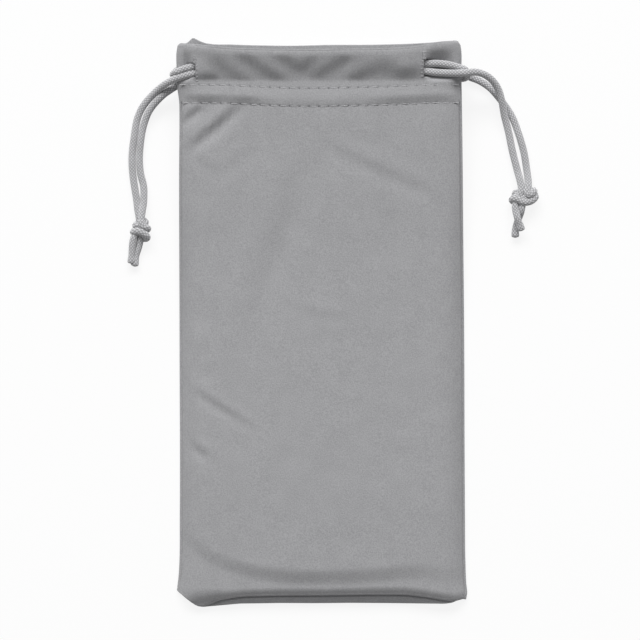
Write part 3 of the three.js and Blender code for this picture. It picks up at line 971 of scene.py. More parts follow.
# %% [markdown]
# ### The heights of the front and the back
#
# The front panel rises from its seams to a crown, and towards the mouth it rises to the casing.
# The casing rises from its seam to a full ridge along the top fold, faster in its folds than
# between them. Near the bottom the cloth dips in a smile-shaped fold and then rolls over the seam
# allowance.

# %% Lines and heights across the pouch
RIDGE_RISE = 3.7  # of the casing's ridge over the crest
CREST = [
    (-89, 7.0), (-70, 7.0), (-20, 7.0), (20, 7.7), (50, 9.2), (60, 9.8), (65, 10.15),
    (68, 10.35), (69.3, 10.45), (70.3, 10.65), (71.4, 10.8), (72.6, 10.84), (75.4, 10.8),
    (76.6, 10.84), (78, 10.9), (85, 10.85), (89, 10.85),
]
SMILE = [
    (-45, -66), (-41.8, -69), (-37, -72.8), (-30, -76.3), (-22.5, -78.5), (-12, -80.2),
    (0, -80.7), (14, -80.2), (28, -78.9), (40, -79.3), (45, -79.4),
]
SMILE_DEPTH = [
    (-45, 0.4), (-37, 0.75), (-30, 0.95), (-22.5, 1.15), (0, 1.5), (14, 1.25), (28, 0.9),
    (36, 0.55), (45, 0.35),
]
SEAM_LINE = [
    (-45, -90.6), (-40, -90.3), (-36.6, -89.7), (-32, -88.2), (-25.8, -87.1), (-19, -86.8),
    (0, -86.6), (20, -86.4), (27, -86.5), (31.4, -87.0), (37.7, -88.1), (42, -88.5),
    (45, -88.8),
]
END_FLOOR = 9.3  # the mouth end's top, where the cords lie on it
END_UNDER = 3.35  # and its underside
LEFT_SLIT_ROWS, RIGHT_SLIT_ROWS, BACK_SLIT_ROWS = (78.3, 82.3), (78.6, 83.9), (78.0, 84.2)
UPPER_ROW, LOWER_ROW = 75.4, 69.7
HEM_TO_CASING = (73.5, 78.0)  # the rows in which the panel turns into the casing
STITCH_PITCH = 3.1
FIRST_HOLE = 0.775  # to the left of the middle
# painted shade: these needle holes beside the bartacks are painted dark
TACK_HOLE_SHADE = {  # needle holes that show beside a bartack, as (from the middle, row)
    -1: [(39.34, 83.6), (39.34, 84.4), (38.9, 78.0)],
    1: [(33.1, 84.8), (32.7, 77.9)],
}


def edge_height(b):
    """The middle height of the side seams."""
    return 1.0 + 6.0 * ease(-5, 76.3, b)


def edge_radius(b):
    """The radius of the bend at the side edges."""
    return 0.42 + 2.0 * ease(66, 78, b)


print("side seams: from", float(edge_height(-89)), "to", float(edge_height(89)), "mm high")


# %% The slits
def slit_rows(a, back=False):
    """Between which rows the slit is open."""
    if back:
        return BACK_SLIT_ROWS
    return [np.where(a < 0, left, right) for left, right in zip(LEFT_SLIT_ROWS, RIGHT_SLIT_ROWS)]


def slit_share(a, b, back=False):
    """1 in the rows of the slit, 0 above and below it."""
    low, high = slit_rows(a, back)
    return ease(low - 0.5, low, b) * (1 - ease(high, high + 0.5, b))


def slit_of(a, back=False):
    """How far from the middle the slit is."""
    if back:
        return np.full(np.shape(a), BACK_SLIT)
    return np.where(a < 0, FRONT_SLIT["left"], FRONT_SLIT["right"])


def beyond_slit(a, b, back=False):
    """0 on the casing, 1 on the mouth end beside it."""
    slit = slit_of(a, back)
    width = 0.3 + (4.2 if back else 2.6) * (1 - slit_share(a, b, back))
    return ease(slit, slit + width, np.abs(a))


def side_share(a, b):
    """0 in the middle of the pouch, 1 at the side edge, with a sharper turn near the mouth."""
    across = np.clip((np.abs(a) - 22) / (HALF_WIDTH - edge_radius(b) - 22), 0, 1)
    return across ** (6.6 + 2.4 * ease(58, 72, b))


print("front slits:", float(slit_of(-1)), "and", float(slit_of(1)), "mm from the middle")


# %% Stitch dents
def needle(a):
    """1 where the needle went in, 0 between."""
    return (0.5 + 0.5 * np.cos(2 * np.pi * (a + FIRST_HOLE) / STITCH_PITCH)) ** 24


def stitch_dents(a, b, row):
    """The groove along a row of stitches, with a deeper hole between two stitches."""
    off = b - row
    return -0.03 * bell(off, 0.36) - 0.2 * (bell(off, 0.28) * needle(a)) - 0.01 * bell(off, 1.1)


deepest = float(stitch_dents(-FIRST_HOLE, UPPER_ROW, UPPER_ROW))
print("a needle hole changes the height by", round(deepest, 2), "mm")


# %% The mouth ends
LEFT_CORD = [(-46, 79.9), (-43.6, 80.8), (-40.4, 81.8), (-38, 82.0)]  # the loops' strands
RIGHT_CORD = [(30, 82.4), (32.7, 82.5), (37.3, 82.55), (41, 82.1), (44, 81.1)]
LEFT_RISE = [(-45, 0.1), (-43, 0.36), (-41.4, 0.5), (-39, 0.52)]
RIGHT_RISE = [(31, 0.95), (33.5, 0.98), (36, 0.95), (39, 0.85), (41.8, 0.4), (44, 0.1), (45, 0.1)]
BEND_START, BEND_LENGTH = 85.0, 3.6  # where the rise turns level towards the top fold


def mouth_end_height(a, b):
    """The top of the mouth ends: a shelf for the cords, with a rise at both sides of them."""
    left = a < 0
    cord = np.where(left, curve(LEFT_CORD, a), curve(RIGHT_CORD, a))
    rise = np.where(left, curve(LEFT_RISE, a), curve(RIGHT_RISE, a))
    foot = cord + CORD_RADIUS
    t = np.clip((b - BEND_START) / BEND_LENGTH, 0, 1)
    level_off = BEND_LENGTH * (t - t**3 + t**4 / 2)
    run = np.clip(np.minimum(b, BEND_START) - foot, 0, None) + level_off
    upper = 0.5 * ease(cord, foot, b) + rise * run
    low = np.where(left, 74.8 + 1.2 * (1 - ease(40, 44, -a)), 75.9)
    lower = 1.45 * (1 - ease(low, low + 3.5, b)) * (1 - 0.9 * ease(41, 45, np.abs(a)))
    return END_FLOOR + upper + lower


for title, a in (("left", -42.0), ("right", 42.0)):
    print(title, "mouth end at the top:", round(float(mouth_end_height(a, 88.0)), 1), "mm high")


# %% The front
def crest_height(a, b):
    """The front's height without its folds, a little lower below the hem than on it."""
    puff = 0.1 + 0.5 * ease(12, 26, np.abs(a)) + 0.25 * ease(30, 36, -a)
    return curve(CREST, b) + puff * (ease(69.7, 72.8, b) - 1)


def bottom_shape(a, y):
    """How far the front drops in the smile-shaped fold, and then rolling over the bottom seam."""
    fall = curve(SMILE_DEPTH, a) * ease(-3.0, 3.0, curve(SMILE, a) - y)
    above = y - curve(SEAM_LINE, a)
    width = 3.0 + 0.2 * ease(-10, 20, a) + 3.0 * ease(28, 38, -a)
    drop = 1.85 + 1.6 * ease(28, 38, -a)
    roll = drop * np.clip((width - above) / width, 0, 1) ** 2 + 0.75 * np.clip(-above, 0, 3)
    groove = 0.2 * bell(above - 0.5, 0.2) - 0.75 * bell(above, 0.26)
    return fall, roll, groove


def side_groove(a, b):
    """The thin groove and ridge along the side seams, where the cloth turns in."""
    off = np.abs(a) - np.where(a < 0, 44.33, 44.25)
    edge = 0.07 * bell(off + 0.45, 0.25) - np.where(a < 0, 0.36, 0.6) * bell(off, 0.22)
    return edge * (1 - ease(70, 77, b)) * ease(-89, -85, b)


def front_height(a, b, x, y):
    """The front's outer face: the panel below, the casing and the mouth ends above."""
    rim, side, crest = edge_height(b) + edge_radius(b), side_share(a, b), crest_height(a, b)
    fall, roll, groove = bottom_shape(a, y)
    middle = crest - fall - roll + groove - 0.35 * ease(-50, -74, b)
    panel = rim + (middle - rim) * (1 - side) + side_groove(a, b)
    dents = stitch_dents(a, b, UPPER_ROW) + stitch_dents(a, b, LOWER_ROW)
    folds = unevenness(x, y, b)
    panel = panel + dents + folds * (1 - side) * (1 - 0.8 * ease(-80, -87, b))
    near_slit = ease(4.0, 0.0, slit_of(a) - np.abs(a))
    casing = crest + (RIDGE_RISE - 1.2 * near_slit) * casing_rise(x, y) + folds
    casing = casing - 0.05 * bell(b - 88.2, 0.16)
    casing = casing + (mouth_end_height(a, b) - casing) * beyond_slit(a, b)
    return panel + (casing - panel) * ease(*HEM_TO_CASING, b)


for b in (-60.0, 0.0, 60.0, 85.0):
    place = np.zeros(1), np.full(1, b)
    print("front at y", b, "is", round(float(front_height(*place, *place)[0]), 1), "mm high")


# %% The back
def back_height(a, b):
    """The back's outer face: on the floor, and raised at the side seams and the mouth ends."""
    rim = edge_height(b) - edge_radius(b)
    side = side_share(a, b)
    panel = rim * side
    for row in (UPPER_ROW, LOWER_ROW):
        panel = panel - stitch_dents(a, b, row)
    panel = panel + 0.45 * bell(b + 86.9, 0.5) * (1 - side)
    casing = END_UNDER * beyond_slit(a, b, back=True)
    return panel + (casing - panel) * ease(*HEM_TO_CASING, b)


print("back under a mouth end:", round(float(back_height(42.0, 85.0)), 2), "mm high")

# %% [markdown]
# ### The grid
#
# One half of the pouch is one grid, because each end of the mouth moves on its own. The columns go
# from the middle of the front to the side edge, round it, and back to the middle behind. Five of
# them stand at the slit. In the slit's rows they don't lie flat: they turn under the casing's
# edge and come out again on the mouth end, which leaves a lip with a dark pocket, and the cord
# comes out of the pocket.

# %% Rows and columns
def steps(*stretches):
    """Positions with a spacing that changes: (to, spacing) pairs after a first position."""
    found = [stretches[0]]
    for to, spacing in stretches[1:]:
        count = max(1, int(round(abs(to - found[-1]) / spacing)))
        found += list(np.linspace(found[-1], to, count + 1)[1:])
    return np.array(found)


OUTER_ROWS = np.concatenate([
    [-89, -88.96, -88.84, -88.65],
    steps(-88.4, (-85.0, 0.14), (-83, 0.3), (-68, 0.6), (62, 1.1), (68.2, 0.6), (77.6, 0.25),
          (87.6, 0.4), (88.75, 0.115)),
])
FOLD_STEPS = 9  # rows over the top fold
LIP = 5  # columns of a slit's lip
LAST_COLUMN = 44.25  # before the bend of the side edge


def face_columns(slit, back, sign):
    """Distances from the middle, with the five columns of the slit's lip among them."""
    if back:
        inner = np.arange(1, 100) * STITCH_PITCH / 2
    else:
        holes = np.arange(-1, 20) * STITCH_PITCH - sign * FIRST_HOLE
        inner = [h + d for h in holes for d in (-0.25, 0.0, 0.25, STITCH_PITCH / 2)]
    inner = [0.0, 0.12] + [v for v in inner if 0.2 < v < slit - 0.35]
    lip = [slit + 0.22 * k for k in range(LIP)]
    outer = list(steps(lip[-1], (42.8, 1.2 if back else 0.7), (LAST_COLUMN, 0.13))[1:])
    return np.array(inner + lip + outer), len(inner)


print("rows up the outside:", len(OUTER_ROWS))


# %% Points of one half
HEM_EXTRA = 0.7  # mm more in the hem, which is doubled


def on_cloth(a, b, back):
    """A point of the cloth's outer face, on the front or on the back."""
    x, y = laid_out(a, b, np.full(np.shape(a), float(back)))
    return x, y, back_height(a, b) if back else front_height(a, b, x, y)


def inside_height(a, b, back, outer):
    """The height of the cloth's inner face below or above a point of its outer face."""
    hem = HEM_EXTRA * ease(69.1, 69.5, b)
    panel = outer + (CLOTH + hem) * (1.0 if back else -1.0)
    casing_inside, end_inside = (3.9, END_UNDER + 1.2) if back else (8.1, END_FLOOR - 1.3)
    inside = casing_inside + (end_inside - casing_inside) * beyond_slit(a, b, back)
    z = panel + (inside - panel) * ease(75.8, 77.6, b)
    middle = edge_height(b)
    return np.minimum(z, middle - 0.1) if back else np.maximum(z, middle + 0.1)


def lip_shift(a, b, back, index):
    """A column of the lip: its share, and where it goes when it leaves the surface."""
    q = slit_share(a, b, back)
    slit = slit_of(a, back)
    sign = np.sign(a)
    if back:
        top, floor, inwards = np.zeros(np.shape(a)), np.full(np.shape(a), END_UNDER), 1
    else:
        top, floor, inwards = on_cloth(sign * (slit - 0.3), b, False)[2], END_FLOOR, -1
    levels = [top, top + inwards * 0.5, top + inwards * 0.6, floor - inwards * 0.05, floor]
    places = [slit, slit + 0.04, slit - 1.7, slit - 1.7, slit + 0.4]
    return q, sign * places[index], levels[index]


print("cloth:", CLOTH, "mm thick, in the hem", round(CLOTH + HEM_EXTRA, 1), "mm")


# %% One column of a half
ROWS = len(OUTER_ROWS)
OPEN_FROM = -88.4  # below this row the cloth closes towards the bottom edge


def bend_column(sign, angle, wall):
    """Round the side edge: outside with wall 0, inside with wall 1."""
    b, radius = OUTER_ROWS, edge_radius(OUTER_ROWS)
    c, s = math.cos(angle), math.sin(angle)
    tight = np.maximum(radius - wall * (0.55 + 0.65 * ease(69, 77, b)), 0.12)
    a = sign * (HALF_WIDTH - radius + tight * s)
    x, y = laid_out(a, b, np.full(ROWS, angle / math.pi))
    z = edge_height(b) + tight * c
    if not wall:
        rim = mouth_end_height(np.full(ROWS, sign * HALF_WIDTH), b)
        lift = (rim - edge_height(b) - radius) * max(0.0, c)
        z = z + lift * ease(*HEM_TO_CASING, b)
    return [x, y, z]


def flat_column(sign, value, back, lip):
    """Up the outside and the inside of the front or the back, with the slit's lip."""
    b = OUTER_ROWS
    a = np.full(ROWS, value)
    if value > 40:  # the last columns go with the side edge's radius
        limit = HALF_WIDTH - edge_radius(b)
        a = 40 + (value - 40) * (limit - 40) / (LAST_COLUMN - 40)
    a = sign * a
    x, y, z = on_cloth(a, b, back)
    outer, inner = [x, y, z], [x, y, inside_height(a, b, back, z)]
    if 0 <= lip < LIP:
        q, lip_a, lip_z = lip_shift(a, b, back, lip)
        lip_x, _ = laid_out(lip_a, b, np.full(ROWS, float(back)))
        outer[0] = outer[0] + (lip_x - outer[0]) * q
        outer[2] = outer[2] + (lip_z - outer[2]) * q
    return outer, inner


print("points in a column:", 2 * ROWS + FOLD_STEPS)


# %% All points of a half
FOLD_HEIGHT = {"front": 0.1, "bend": 0.18, "back": 0.25}
CLOSING = 0.6  # the length over which the outer face closes at the bottom
INSIDE_FROM, INSIDE_CLOSING = -88.2, 0.8  # and the inner face, up from this row


def half_grid(sign, slit):
    """All points of a half: rows up the outside, over the fold and down the inside."""
    front, front_lip = face_columns(slit, False, sign)
    back, back_lip = face_columns(BACK_SLIT, True, sign)
    columns = [("front", v, k - front_lip) for k, v in enumerate(front)]
    columns += [("bend", angle, None) for angle in np.linspace(0, math.pi, 9)[1:-1]]
    columns += [("back", v, k - back_lip) for k, v in reversed(list(enumerate(back)))]
    grid = np.zeros((2 * ROWS + FOLD_STEPS, len(columns), 3))
    b, middle = OUTER_ROWS, edge_height(OUTER_ROWS)
    closing = np.sqrt(np.clip(1 - (np.clip(OPEN_FROM - b, 0, CLOSING) / CLOSING) ** 2, 0, 1))
    low = np.clip((b - INSIDE_FROM) / INSIDE_CLOSING, 0, 1)
    for j, (face, value, lip) in enumerate(columns):
        if face == "bend":
            outer, inner = bend_column(sign, value, 0.0), bend_column(sign, value, 1.0)
        else:
            outer, inner = flat_column(sign, value, face == "back", lip)
        outer[2] = middle + (outer[2] - middle) * closing
        inner[2] = middle + (inner[2] - middle) * (0.05 + 0.95 * low)
        grid[:ROWS, j] = np.stack(outer, axis=1)
        grid[ROWS + FOLD_STEPS :, j] = np.stack(inner, axis=1)[::-1]
        grid[ROWS + FOLD_STEPS :, j, 1] += CLOTH * (1 - low[::-1])
        last, first = grid[ROWS - 1, j].copy(), grid[ROWS + FOLD_STEPS, j].copy()
        centre = (last + first) / 2
        for k in range(FOLD_STEPS):
            angle = math.pi * (k + 1) / (FOLD_STEPS + 1)
            grid[ROWS + k, j] = centre + (last - first) / 2 * math.cos(angle)
            grid[ROWS + k, j, 1] = centre[1] + FOLD_HEIGHT[face] * 0.95 * math.sin(angle)
    return grid, columns


left_grid, left_columns = half_grid(-1, FRONT_SLIT["left"])
right_grid, right_columns = half_grid(1, FRONT_SLIT["right"])
print("points in the halves:", left_grid[..., 0].size, "and", right_grid[..., 0].size)

# %% [markdown]
# ## The microfibre
#
# Microfibre is a dense knit with a short nap. From a distance it is an even grey, and from near it
# is speckled, because the tips of the nap point in all directions. Two sizes of noise mix a darker
# and a lighter grey, and the finer one raises the nap. A little sheen lights the slopes. A mask
# stored on the mesh paints the needle holes dark, as painted shade in the holes.

# %% Microfibre material
def microfibre():
    material, tree, shader = new_material("grey_microfibre", 0.92)
    place = tree.node("ShaderNodeTexCoord", output="Object")
    nap = tree.noise(place, 2500.0, roughness=0.6)
    patches = tree.noise(place, 190.0)
    holes = tree.node("ShaderNodeAttribute", {"attribute_name": "needle_hole_shade"}, output="Fac")
    tone = nap * 0.85 + patches * 0.15
    cloth = tree.mix(tree.ease(tone, 0.28, 0.72), grey(145), grey(166))
    # painted shade: the needle holes are painted a dark grey
    colour = tree.mix(holes, cloth, grey(62))
    connect(shader, "Base Color", colour)
    connect(shader, "Normal", tree.bump(0.25, 0.0002, nap))
    shader.inputs["Sheen Weight"].default_value = 0.12
    shader.inputs["Sheen Roughness"].default_value = 0.4
    return material


microfibre_material = microfibre()
print("microfibre:", len(microfibre_material.node_tree.nodes), "nodes")

# %% [markdown]
# ## Sewing the halves
#
# Each half is closed: its outer and inner faces meet at the bottom and along the middle of the
# pouch. The edges there are marked sharp, so that the shading runs on from one half to the other
# without a visible line.

# %% Faces of a half
def face_outwards(mesh, sharp=()):
    """Turns all faces outwards and marks edges, given as pairs of points, as sharp."""
    shape = bmesh.new()
    shape.from_mesh(mesh)
    shape.verts.ensure_lookup_table()
    for first, second in sharp:
        shape.edges.get((shape.verts[first], shape.verts[second])).smooth = False
    bmesh.ops.recalc_face_normals(shape, faces=shape.faces)
    shape.to_mesh(mesh)
    shape.free()


def closed_faces(rows, width):
    """The faces of a grid whose outer and inner rows meet, and the edges along its rim."""
    def at(i, j):
        return i * width + j

    def mirror(i):
        return rows - 1 - i

    faces = [(at(i, j), at(i, j + 1), at(i + 1, j + 1), at(i + 1, j))
             for i in range(rows - 1) for j in range(width - 1)]
    rim = []
    for j in (0, width - 1):
        for i in range(ROWS - 1):
            quad = (at(i, j), at(i + 1, j), at(mirror(i + 1), j), at(mirror(i), j))
            faces.append(quad if j == 0 else quad[::-1])
        cap = tuple(at(i, j) for i in range(ROWS - 1, rows - ROWS + 1))
        faces.append(cap if j == 0 else cap[::-1])
        rim += [(at(i, j), at(i + 1, j)) for i in range(rows - 1)]
    for i in (0, rows - 1):
        closing = tuple(at(i, j) for j in range(width))
        faces.append(closing[::-1] if i == 0 else closing)
        rim += [(at(i, j), at(i, j + 1)) for j in range(width - 1)]
    return faces, rim


print("sharp edges of the left half:", len(closed_faces(*left_grid.shape[:2])[1]))


# %% Needle holes of a half
def needle_hole_shade_mask(grid, columns, sign):
    """1 at the needle holes of the front, where the material paints shade into them."""
    rows, width = grid.shape[:2]
    holes = np.zeros(rows * width)
    for j, (face, value, _) in enumerate(columns):
        if face == "front":
            dents = np.zeros(ROWS)
            for row in (UPPER_ROW, LOWER_ROW):
                dents += bell(OUTER_ROWS - row, 0.24) * 0.98 * needle(sign * value)
            for across, up in TACK_HOLE_SHADE[sign]:
                off = ((OUTER_ROWS - up) / 0.2) ** 2 + ((value - across) / 0.2) ** 2
                dents += np.exp(-off)
            holes[np.arange(ROWS) * width + j] = np.clip(dents, 0, 1)
    return holes


dark = needle_hole_shade_mask(left_grid, left_columns, -1) > 0.5
print("points in needle holes of the left half:", int(dark.sum()))


# %% Build the two halves of cloth
def cloth_half(name, grid, columns, sign):
    """The closed piece of one half, with the painted shade of its needle holes stored on it."""
    faces, rim = closed_faces(*grid.shape[:2])
    piece = make_piece(name, grid.reshape(-1, 3), faces, microfibre_material)
    mask = piece.data.attributes.new("needle_hole_shade", "FLOAT", "POINT")
    mask.data.foreach_set("value", needle_hole_shade_mask(grid, columns, sign).astype(np.float32))
    face_outwards(piece.data, sharp=rim)
    return piece


def close_bottom(grid, columns):
    """The front's lowest row and the back's lowest row are one line."""
    front = [j for j, c in enumerate(columns) if c[0] == "front"]
    places = [columns[j][1] for j in front]
    for row in (0, grid.shape[0] - 1):
        line = grid[row, front]
        for j, (face, value, _) in enumerate(columns):
            if face == "back":
                for k in range(3):
                    grid[row, j, k] = np.interp(value, places, line[:, k])
                grid[row, j, 2] -= 0.02
    return grid


left_cloth = cloth_half("left_cloth", close_bottom(left_grid, left_columns), left_columns, -1)
right_cloth = cloth_half("right_cloth", close_bottom(right_grid, right_columns), right_columns, 1)
for piece in (left_cloth, right_cloth):
    print(piece.name, "faces:", len(piece.data.polygons))

# %% [markdown]
# ## Baking the pieces in place
#
# When a drawstring is pulled, the far end of the mouth slides towards the middle and the cloth
# bunches up. Here every soft piece of a half is only baked in place: the slanting line along
# which it would bend is worked out, but no bend is made.

# %% Bake in place
SLANT = math.radians(28)  # of the slanting line along which a piece would bend


def follow_mouth(piece, sign):
    """Bakes the piece's place into its mesh; the bend's point is worked out, but nothing bends it.
    """
    reach = HALF_WIDTH * math.cos(SLANT)
    x, y = sign * reach * math.cos(SLANT), HALF_HEIGHT + reach * math.sin(SLANT)
    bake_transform(piece)


for piece, side, sign in ((left_cloth, "left", -1), (right_cloth, "right", 1)):
    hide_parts("front_panel", "back_panel", "front_casing", "back_casing",
                f"{side}_mouth_end")
    print(piece.name, "is a sheet of 97 x 200 mm, laid flat")

# %% [markdown]
# ## Stitches
#
# A lockstitch shows as a row of short thread capsules that dive into the cloth at both ends. A
# Geometry Nodes tree puts a capsule at every pitch along a row. The same tree sews the bartacks,
# with the capsules turned across the row and close together, and the overlocked seams inside.

# %% Thread
def thread_material():
    material, tree, shader = new_material("grey_thread", 0.6)
    place = tree.node("ShaderNodeTexCoord", output="Object")
    ply = tree.node(
        "ShaderNodeTexWave",
        {"wave_type": "BANDS", "bands_direction": "DIAGONAL"},
        {"Vector": place, "Scale": 900.0, "Distortion": 1.5, "Detail": 1.0},
        output="Fac",
    )
    # painted shade: the low bands of the ply, the grooves of the twist, get the darker grey
    connect(shader, "Base Color", tree.mix(ply, grey(160), grey(182)))
    connect(shader, "Normal", tree.bump(0.4, 0.0001, ply))
    shader.inputs["Sheen Weight"].default_value = 0.1
    return material


grey_thread = thread_material()
print("thread:", len(grey_thread.node_tree.nodes), "nodes")


# %% The stitch tree's inputs
def group_with_inputs():
    """An empty tree with named inputs: the row, sizes in metres, a seed and the material."""
    group = bpy.data.node_groups.new("stitches_along_a_row", "GeometryNodeTree")
    face = group.interface
    face.new_socket("Geometry", in_out="INPUT", socket_type="NodeSocketGeometry")
    for name, value in (("Pitch", 0.0031), ("Stitch Length", 0.0024), ("Thickness", 0.0004),
                        ("Turn", 0.0), ("Unevenness", 0.05)):
        socket = face.new_socket(name, in_out="INPUT", socket_type="NodeSocketFloat")
        socket.default_value = value
    seed = face.new_socket("Seed", in_out="INPUT", socket_type="NodeSocketInt")
    seed.default_value = 4
    face.new_socket("Material", in_out="INPUT", socket_type="NodeSocketMaterial")
    face.new_socket("Geometry", in_out="OUTPUT", socket_type="NodeSocketGeometry")
    return group


print("stitches are", STITCH_PITCH, "mm apart")


# %% Stitch tree
def stitching_group():
    """A capsule at every pitch along the row, turned and shaken a little."""
    group = group_with_inputs()
    tree = Tree(group)
    given = tree.node("NodeGroupInput")
    row = tree.node(
        "GeometryNodeCurveToPoints",
        {"mode": "LENGTH"},
        {"Curve": given.out("Geometry"), "Length": given.out("Pitch")},
    )
    tangent = row.out("Tangent")
    turned = tree.node(
        "ShaderNodeVectorRotate",
        {"rotation_type": "Z_AXIS"},
        {"Vector": tangent, "Angle": given.out("Turn")},
    )
    wobble = tree.node(
        "FunctionNodeRandomValue",
        {"data_type": "FLOAT_VECTOR"},
        {0: (-1, -1, -1), 1: (1, 1, 1), "Seed": given.out("Seed")},
    )
    shaken = tree.node(
        "ShaderNodeVectorMath",
        {"operation": "MULTIPLY_ADD"},
        {0: wobble, 1: given.out("Unevenness"), 2: turned},
    )
    facing = tree.node("FunctionNodeAlignRotationToVector", {"axis": "X"}, {"Vector": shaken})
    bead = tree.node("GeometryNodeMeshUVSphere", {}, {"Segments": 8, "Rings": 6, "Radius": 0.5})
    length, thick = given.out("Stitch Length"), given.out("Thickness")
    size = tree.node("ShaderNodeCombineXYZ", {}, {"X": length, "Y": thick, "Z": thick})
    capsule = tree.node("GeometryNodeTransform", {}, {"Geometry": bead, "Scale": size})
    smooth = tree.node("GeometryNodeSetShadeSmooth", {}, {"Geometry": capsule})
    placed = tree.node(
        "GeometryNodeInstanceOnPoints",
        {},
        {"Points": row, "Instance": smooth, "Rotation": facing},
    )
    real = tree.node("GeometryNodeRealizeInstances", {}, {"Geometry": placed})
    coloured = tree.node(
        "GeometryNodeSetMaterial", {}, {"Geometry": real, "Material": given.out("Material")}
    )
    output = group.nodes.new("NodeGroupOutput")
    group.links.new(coloured.socket, output.inputs["Geometry"])
    return group


stitch_group = stitching_group()
print("stitch tree:", len(stitch_group.nodes), "nodes")


# %% Sew a row
def sew(name, rows, **sizes):
    """A piece of stitches along several rows of points in mm."""
    data = bpy.data.curves.new(name + "_rows", "CURVE")
    data.dimensions = "3D"
    for row in rows:
        spline = data.splines.new("POLY")
        spline.points.add(len(row) - 1)
        flat = np.concatenate([np.array(row) * MM, np.ones((len(row), 1))], axis=1)
        spline.points.foreach_set("co", flat.astype(np.float32).ravel())
    guide = bpy.data.objects.new(name + "_rows", data)
    bpy.context.scene.collection.objects.link(guide)
    modifier = guide.modifiers.new("stitches", "NODES")
    modifier.node_group = stitch_group
    names = {item.name: item.identifier for item in stitch_group.interface.items_tree
             if item.in_out == "INPUT"}
    modifier[names["Material"]] = grey_thread
    for title, value in sizes.items():
        modifier[names[title.replace("_", " ")]] = value
    graph = bpy.context.evaluated_depsgraph_get()
    result = guide.evaluated_get(graph)
    mesh = bpy.data.meshes.new_from_object(result)
    mesh.name = name
    piece = bpy.data.objects.new(name, mesh)
    bpy.context.scene.collection.objects.link(piece)
    bpy.data.objects.remove(guide)
    if not mesh.materials:
        mesh.materials.append(grey_thread)
    return piece


def sewn_row(a, b, back, lift):
    """Points on the cloth, lifted off it; a negative lift goes into it."""
    x, y, z = on_cloth(a, b, back)
    return np.stack([x, y, z - lift if back else z + lift], axis=1)


print("stitches in half a row:", int(HALF_WIDTH / STITCH_PITCH))


# %% The hem's two rows
def hem_row(sign, row, back, lift):
    """Points along a stitch row, from the middle to the side seam."""
    a = sign * np.arange(STITCH_PITCH / 2 - sign * FIRST_HOLE, 43.2, STITCH_PITCH / 8)
    points = sewn_row(a, np.full(a.shape, row), back, lift)
    if not back:  # a stitch is tight, and doesn't follow every dent
        ring = 9
        padded = np.pad(points[:, 2], ring // 2, mode="edge")
        points[:, 2] = np.convolve(padded, np.ones(ring) / ring, mode="valid")
    return points


for side, sign in (("left", -1), ("right", 1)):
    for face, lifts in (("front", (-0.01, 0.03)), ("back", (-0.14, -0.14))):
        rows = [hem_row(sign, row, face == "back", lift)
                for row, lift in zip((UPPER_ROW, LOWER_ROW), lifts)]
        piece = sew(f"{side}_{face}_hem_stitches", rows, Stitch_Length=0.0026, Thickness=0.00026,
                    Unevenness=0.03)
        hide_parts(f"{face}_upper_stitching", f"{face}_lower_stitching")
        follow_mouth(piece, sign)
        print(piece.name, "faces:", len(piece.data.polygons))

# %% Bartacks at the slits
TACK_POINTS = 12
TACK = {"away": 0.1, "rows": (0.3, 2.6)}  # from the slit and from its top, in mm
BINDING = {"away": -0.5, "rows": (-5.6, -0.4)}
TACK_LIFTS = {"front": (0.1, 0.02), "back": (-0.16, -0.18)}


def upright_row(side, back, where, lift):
    """A row of points beside a slit, up or down from its top."""
    sign = -1 if side == "left" else 1
    a = np.full(TACK_POINTS, sign * ((BACK_SLIT if back else FRONT_SLIT[side]) + where["away"]))
    top = float(np.max(slit_rows(a, back)[1]))
    low, high = where["rows"]
    return [sewn_row(a, np.linspace(top + low, top + high, TACK_POINTS), back, lift)]


for side, sign in (("left", -1), ("right", 1)):
    for face, (tack_lift, binding_lift) in TACK_LIFTS.items():
        tack = upright_row(side, face == "back", TACK, tack_lift)
        piece = sew(f"{side}_{face}_bartack_stitches", tack, Pitch=0.00042, Stitch_Length=0.0014,
                    Thickness=0.0003, Turn=math.pi / 2)
        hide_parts(f"{face}_{side}_bartack")
        follow_mouth(piece, sign)
        edge = upright_row(side, face == "back", BINDING, binding_lift)
        binding = sew(f"{side}_{face}_slit_stitches", edge, Pitch=0.0011, Stitch_Length=0.0010,
                      Thickness=0.0003, Turn=math.pi / 2, Seed=9)
        follow_mouth(binding, sign)
        print(piece.name, "and", binding.name, "sewn")

# %% [markdown]
# ## Seams inside
#
# The pouch was sewn inside out and turned. Inside, the trimmed edges of both panels stand along
# the seams as a narrow overlocked strip. They show only to somebody who looks into the mouth, but
# they are what holds the pouch together.

# %% Seam allowances and their threads
ALLOWANCE = 3.5  # width of the strip
STRIP_UPPER = [(0.0, 0.3), (0.4, 0.36), (1.6, 0.34), (2.8, 0.34), (3.3, 0.3)]
STRIP_SECTION = (  # (distance inwards, height) round the strip
    STRIP_UPPER + [(ALLOWANCE, 0.0)] + [(reach, -lift) for reach, lift in reversed(STRIP_UPPER)]
)


def allowance_strip(name, path, inward):
    """A strip of doubled cloth, from the seam's line inwards."""
    path = np.array(path)
    across = np.array(inward, float)
    rings = []
    for i, point in enumerate(path):
        wave = 0.12 * math.sin(i * 1.7) + 0.1 * math.sin(i * 0.61)
        rings.append([point + across * reach + [0, 0, lift + wave * reach / ALLOWANCE]
                      for reach, lift in STRIP_SECTION])
    rings = np.array(rings)
    count = len(STRIP_SECTION)
    faces = []
    for i in range(len(path) - 1):
        for j in range(count):
            k = (j + 1) % count
            faces.append((i * count + j, (i + 1) * count + j, (i + 1) * count + k, i * count + k))
    faces.append(tuple(range(count)))
    faces.append(tuple(range((len(path) - 1) * count, len(path) * count))[::-1])
    piece = make_piece(name, rings.reshape(-1, 3), faces, microfibre_material)
    face_outwards(piece.data)
    return piece


print("points round a strip:", len(STRIP_SECTION))


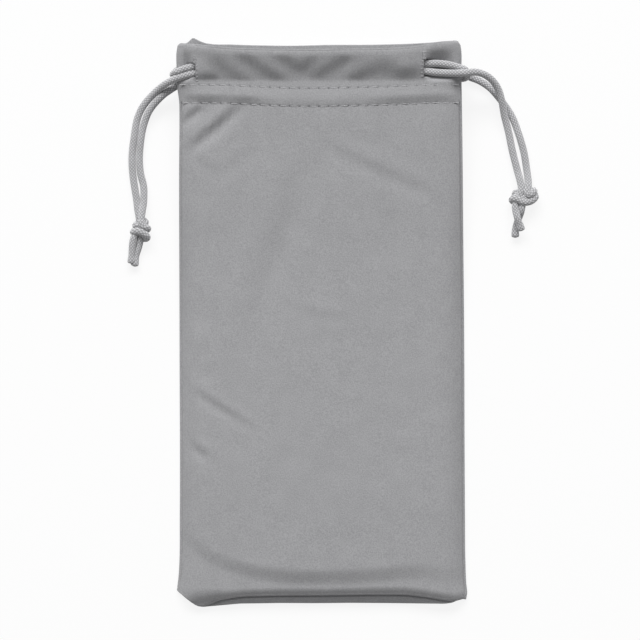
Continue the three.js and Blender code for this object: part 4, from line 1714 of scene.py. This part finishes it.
# %% The side seams
THREAD_LIFT = 0.35  # of the overlock's two rows, over and under the strip
OVERLOCK = {"Pitch": 0.0014, "Thickness": 0.0003, "Turn": math.radians(62)}


def seam_line(sign, reach, lift):
    """A line along a side seam, so far inwards and so far up."""
    b = np.linspace(-84, 75.5, 150)
    x, _ = laid_out(np.full(b.shape, sign * 44.0), b, np.zeros(b.shape))
    return np.stack([x - sign * reach, b, edge_height(b) + lift], axis=1)


for side, sign in (("left", -1), ("right", 1)):
    strip = allowance_strip(f"{side}_seam_strip", seam_line(sign, 0.3, 0.0), (-sign, 0, 0))
    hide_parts(f"{side}_seam_allowance")
    follow_mouth(strip, sign)
    rows = [seam_line(sign, 2.6, lift) for lift in (THREAD_LIFT, -THREAD_LIFT)]
    overlock = sew(f"{side}_overlock_stitches", rows, Stitch_Length=0.0026, Seed=21, **OVERLOCK)
    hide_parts(f"{side}_seam_thread")
    follow_mouth(overlock, sign)
    print(overlock.name, "faces:", len(overlock.data.polygons))

# %% The bottom seam
BOTTOM_Y, BOTTOM_Z = -86.7, 1.55
THREAD_Y = -84.2
bottom_path = [(x, BOTTOM_Y, BOTTOM_Z) for x in np.linspace(-42.2, 42.2, 90)]
bottom_strip = allowance_strip("bottom_seam_strip", bottom_path, (0, 1, 0))
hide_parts("bottom_seam_allowance")
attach(bottom_strip, "pouch")
bottom_rows = [[(x, THREAD_Y, BOTTOM_Z + lift) for x in np.linspace(-41, 41, 160)]
               for lift in (THREAD_LIFT, -THREAD_LIFT)]
bottom_overlock = sew("bottom_overlock_stitches", bottom_rows, Stitch_Length=0.0024, Seed=22,
                      **OVERLOCK)
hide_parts("bottom_seam_thread")
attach(bottom_overlock, "pouch")
print(bottom_overlock.name, "faces:", len(bottom_overlock.data.polygons))

# %% The cloth is baked in place too
for piece, sign in ((left_cloth, -1), (right_cloth, 1)):
    follow_mouth(piece, sign)
    print(piece.name, "bends with its mouth end")

# %% [markdown]
# ## Sizes
#
# The cloth and the cords may stand a little proud of the CAD solids that they replace.
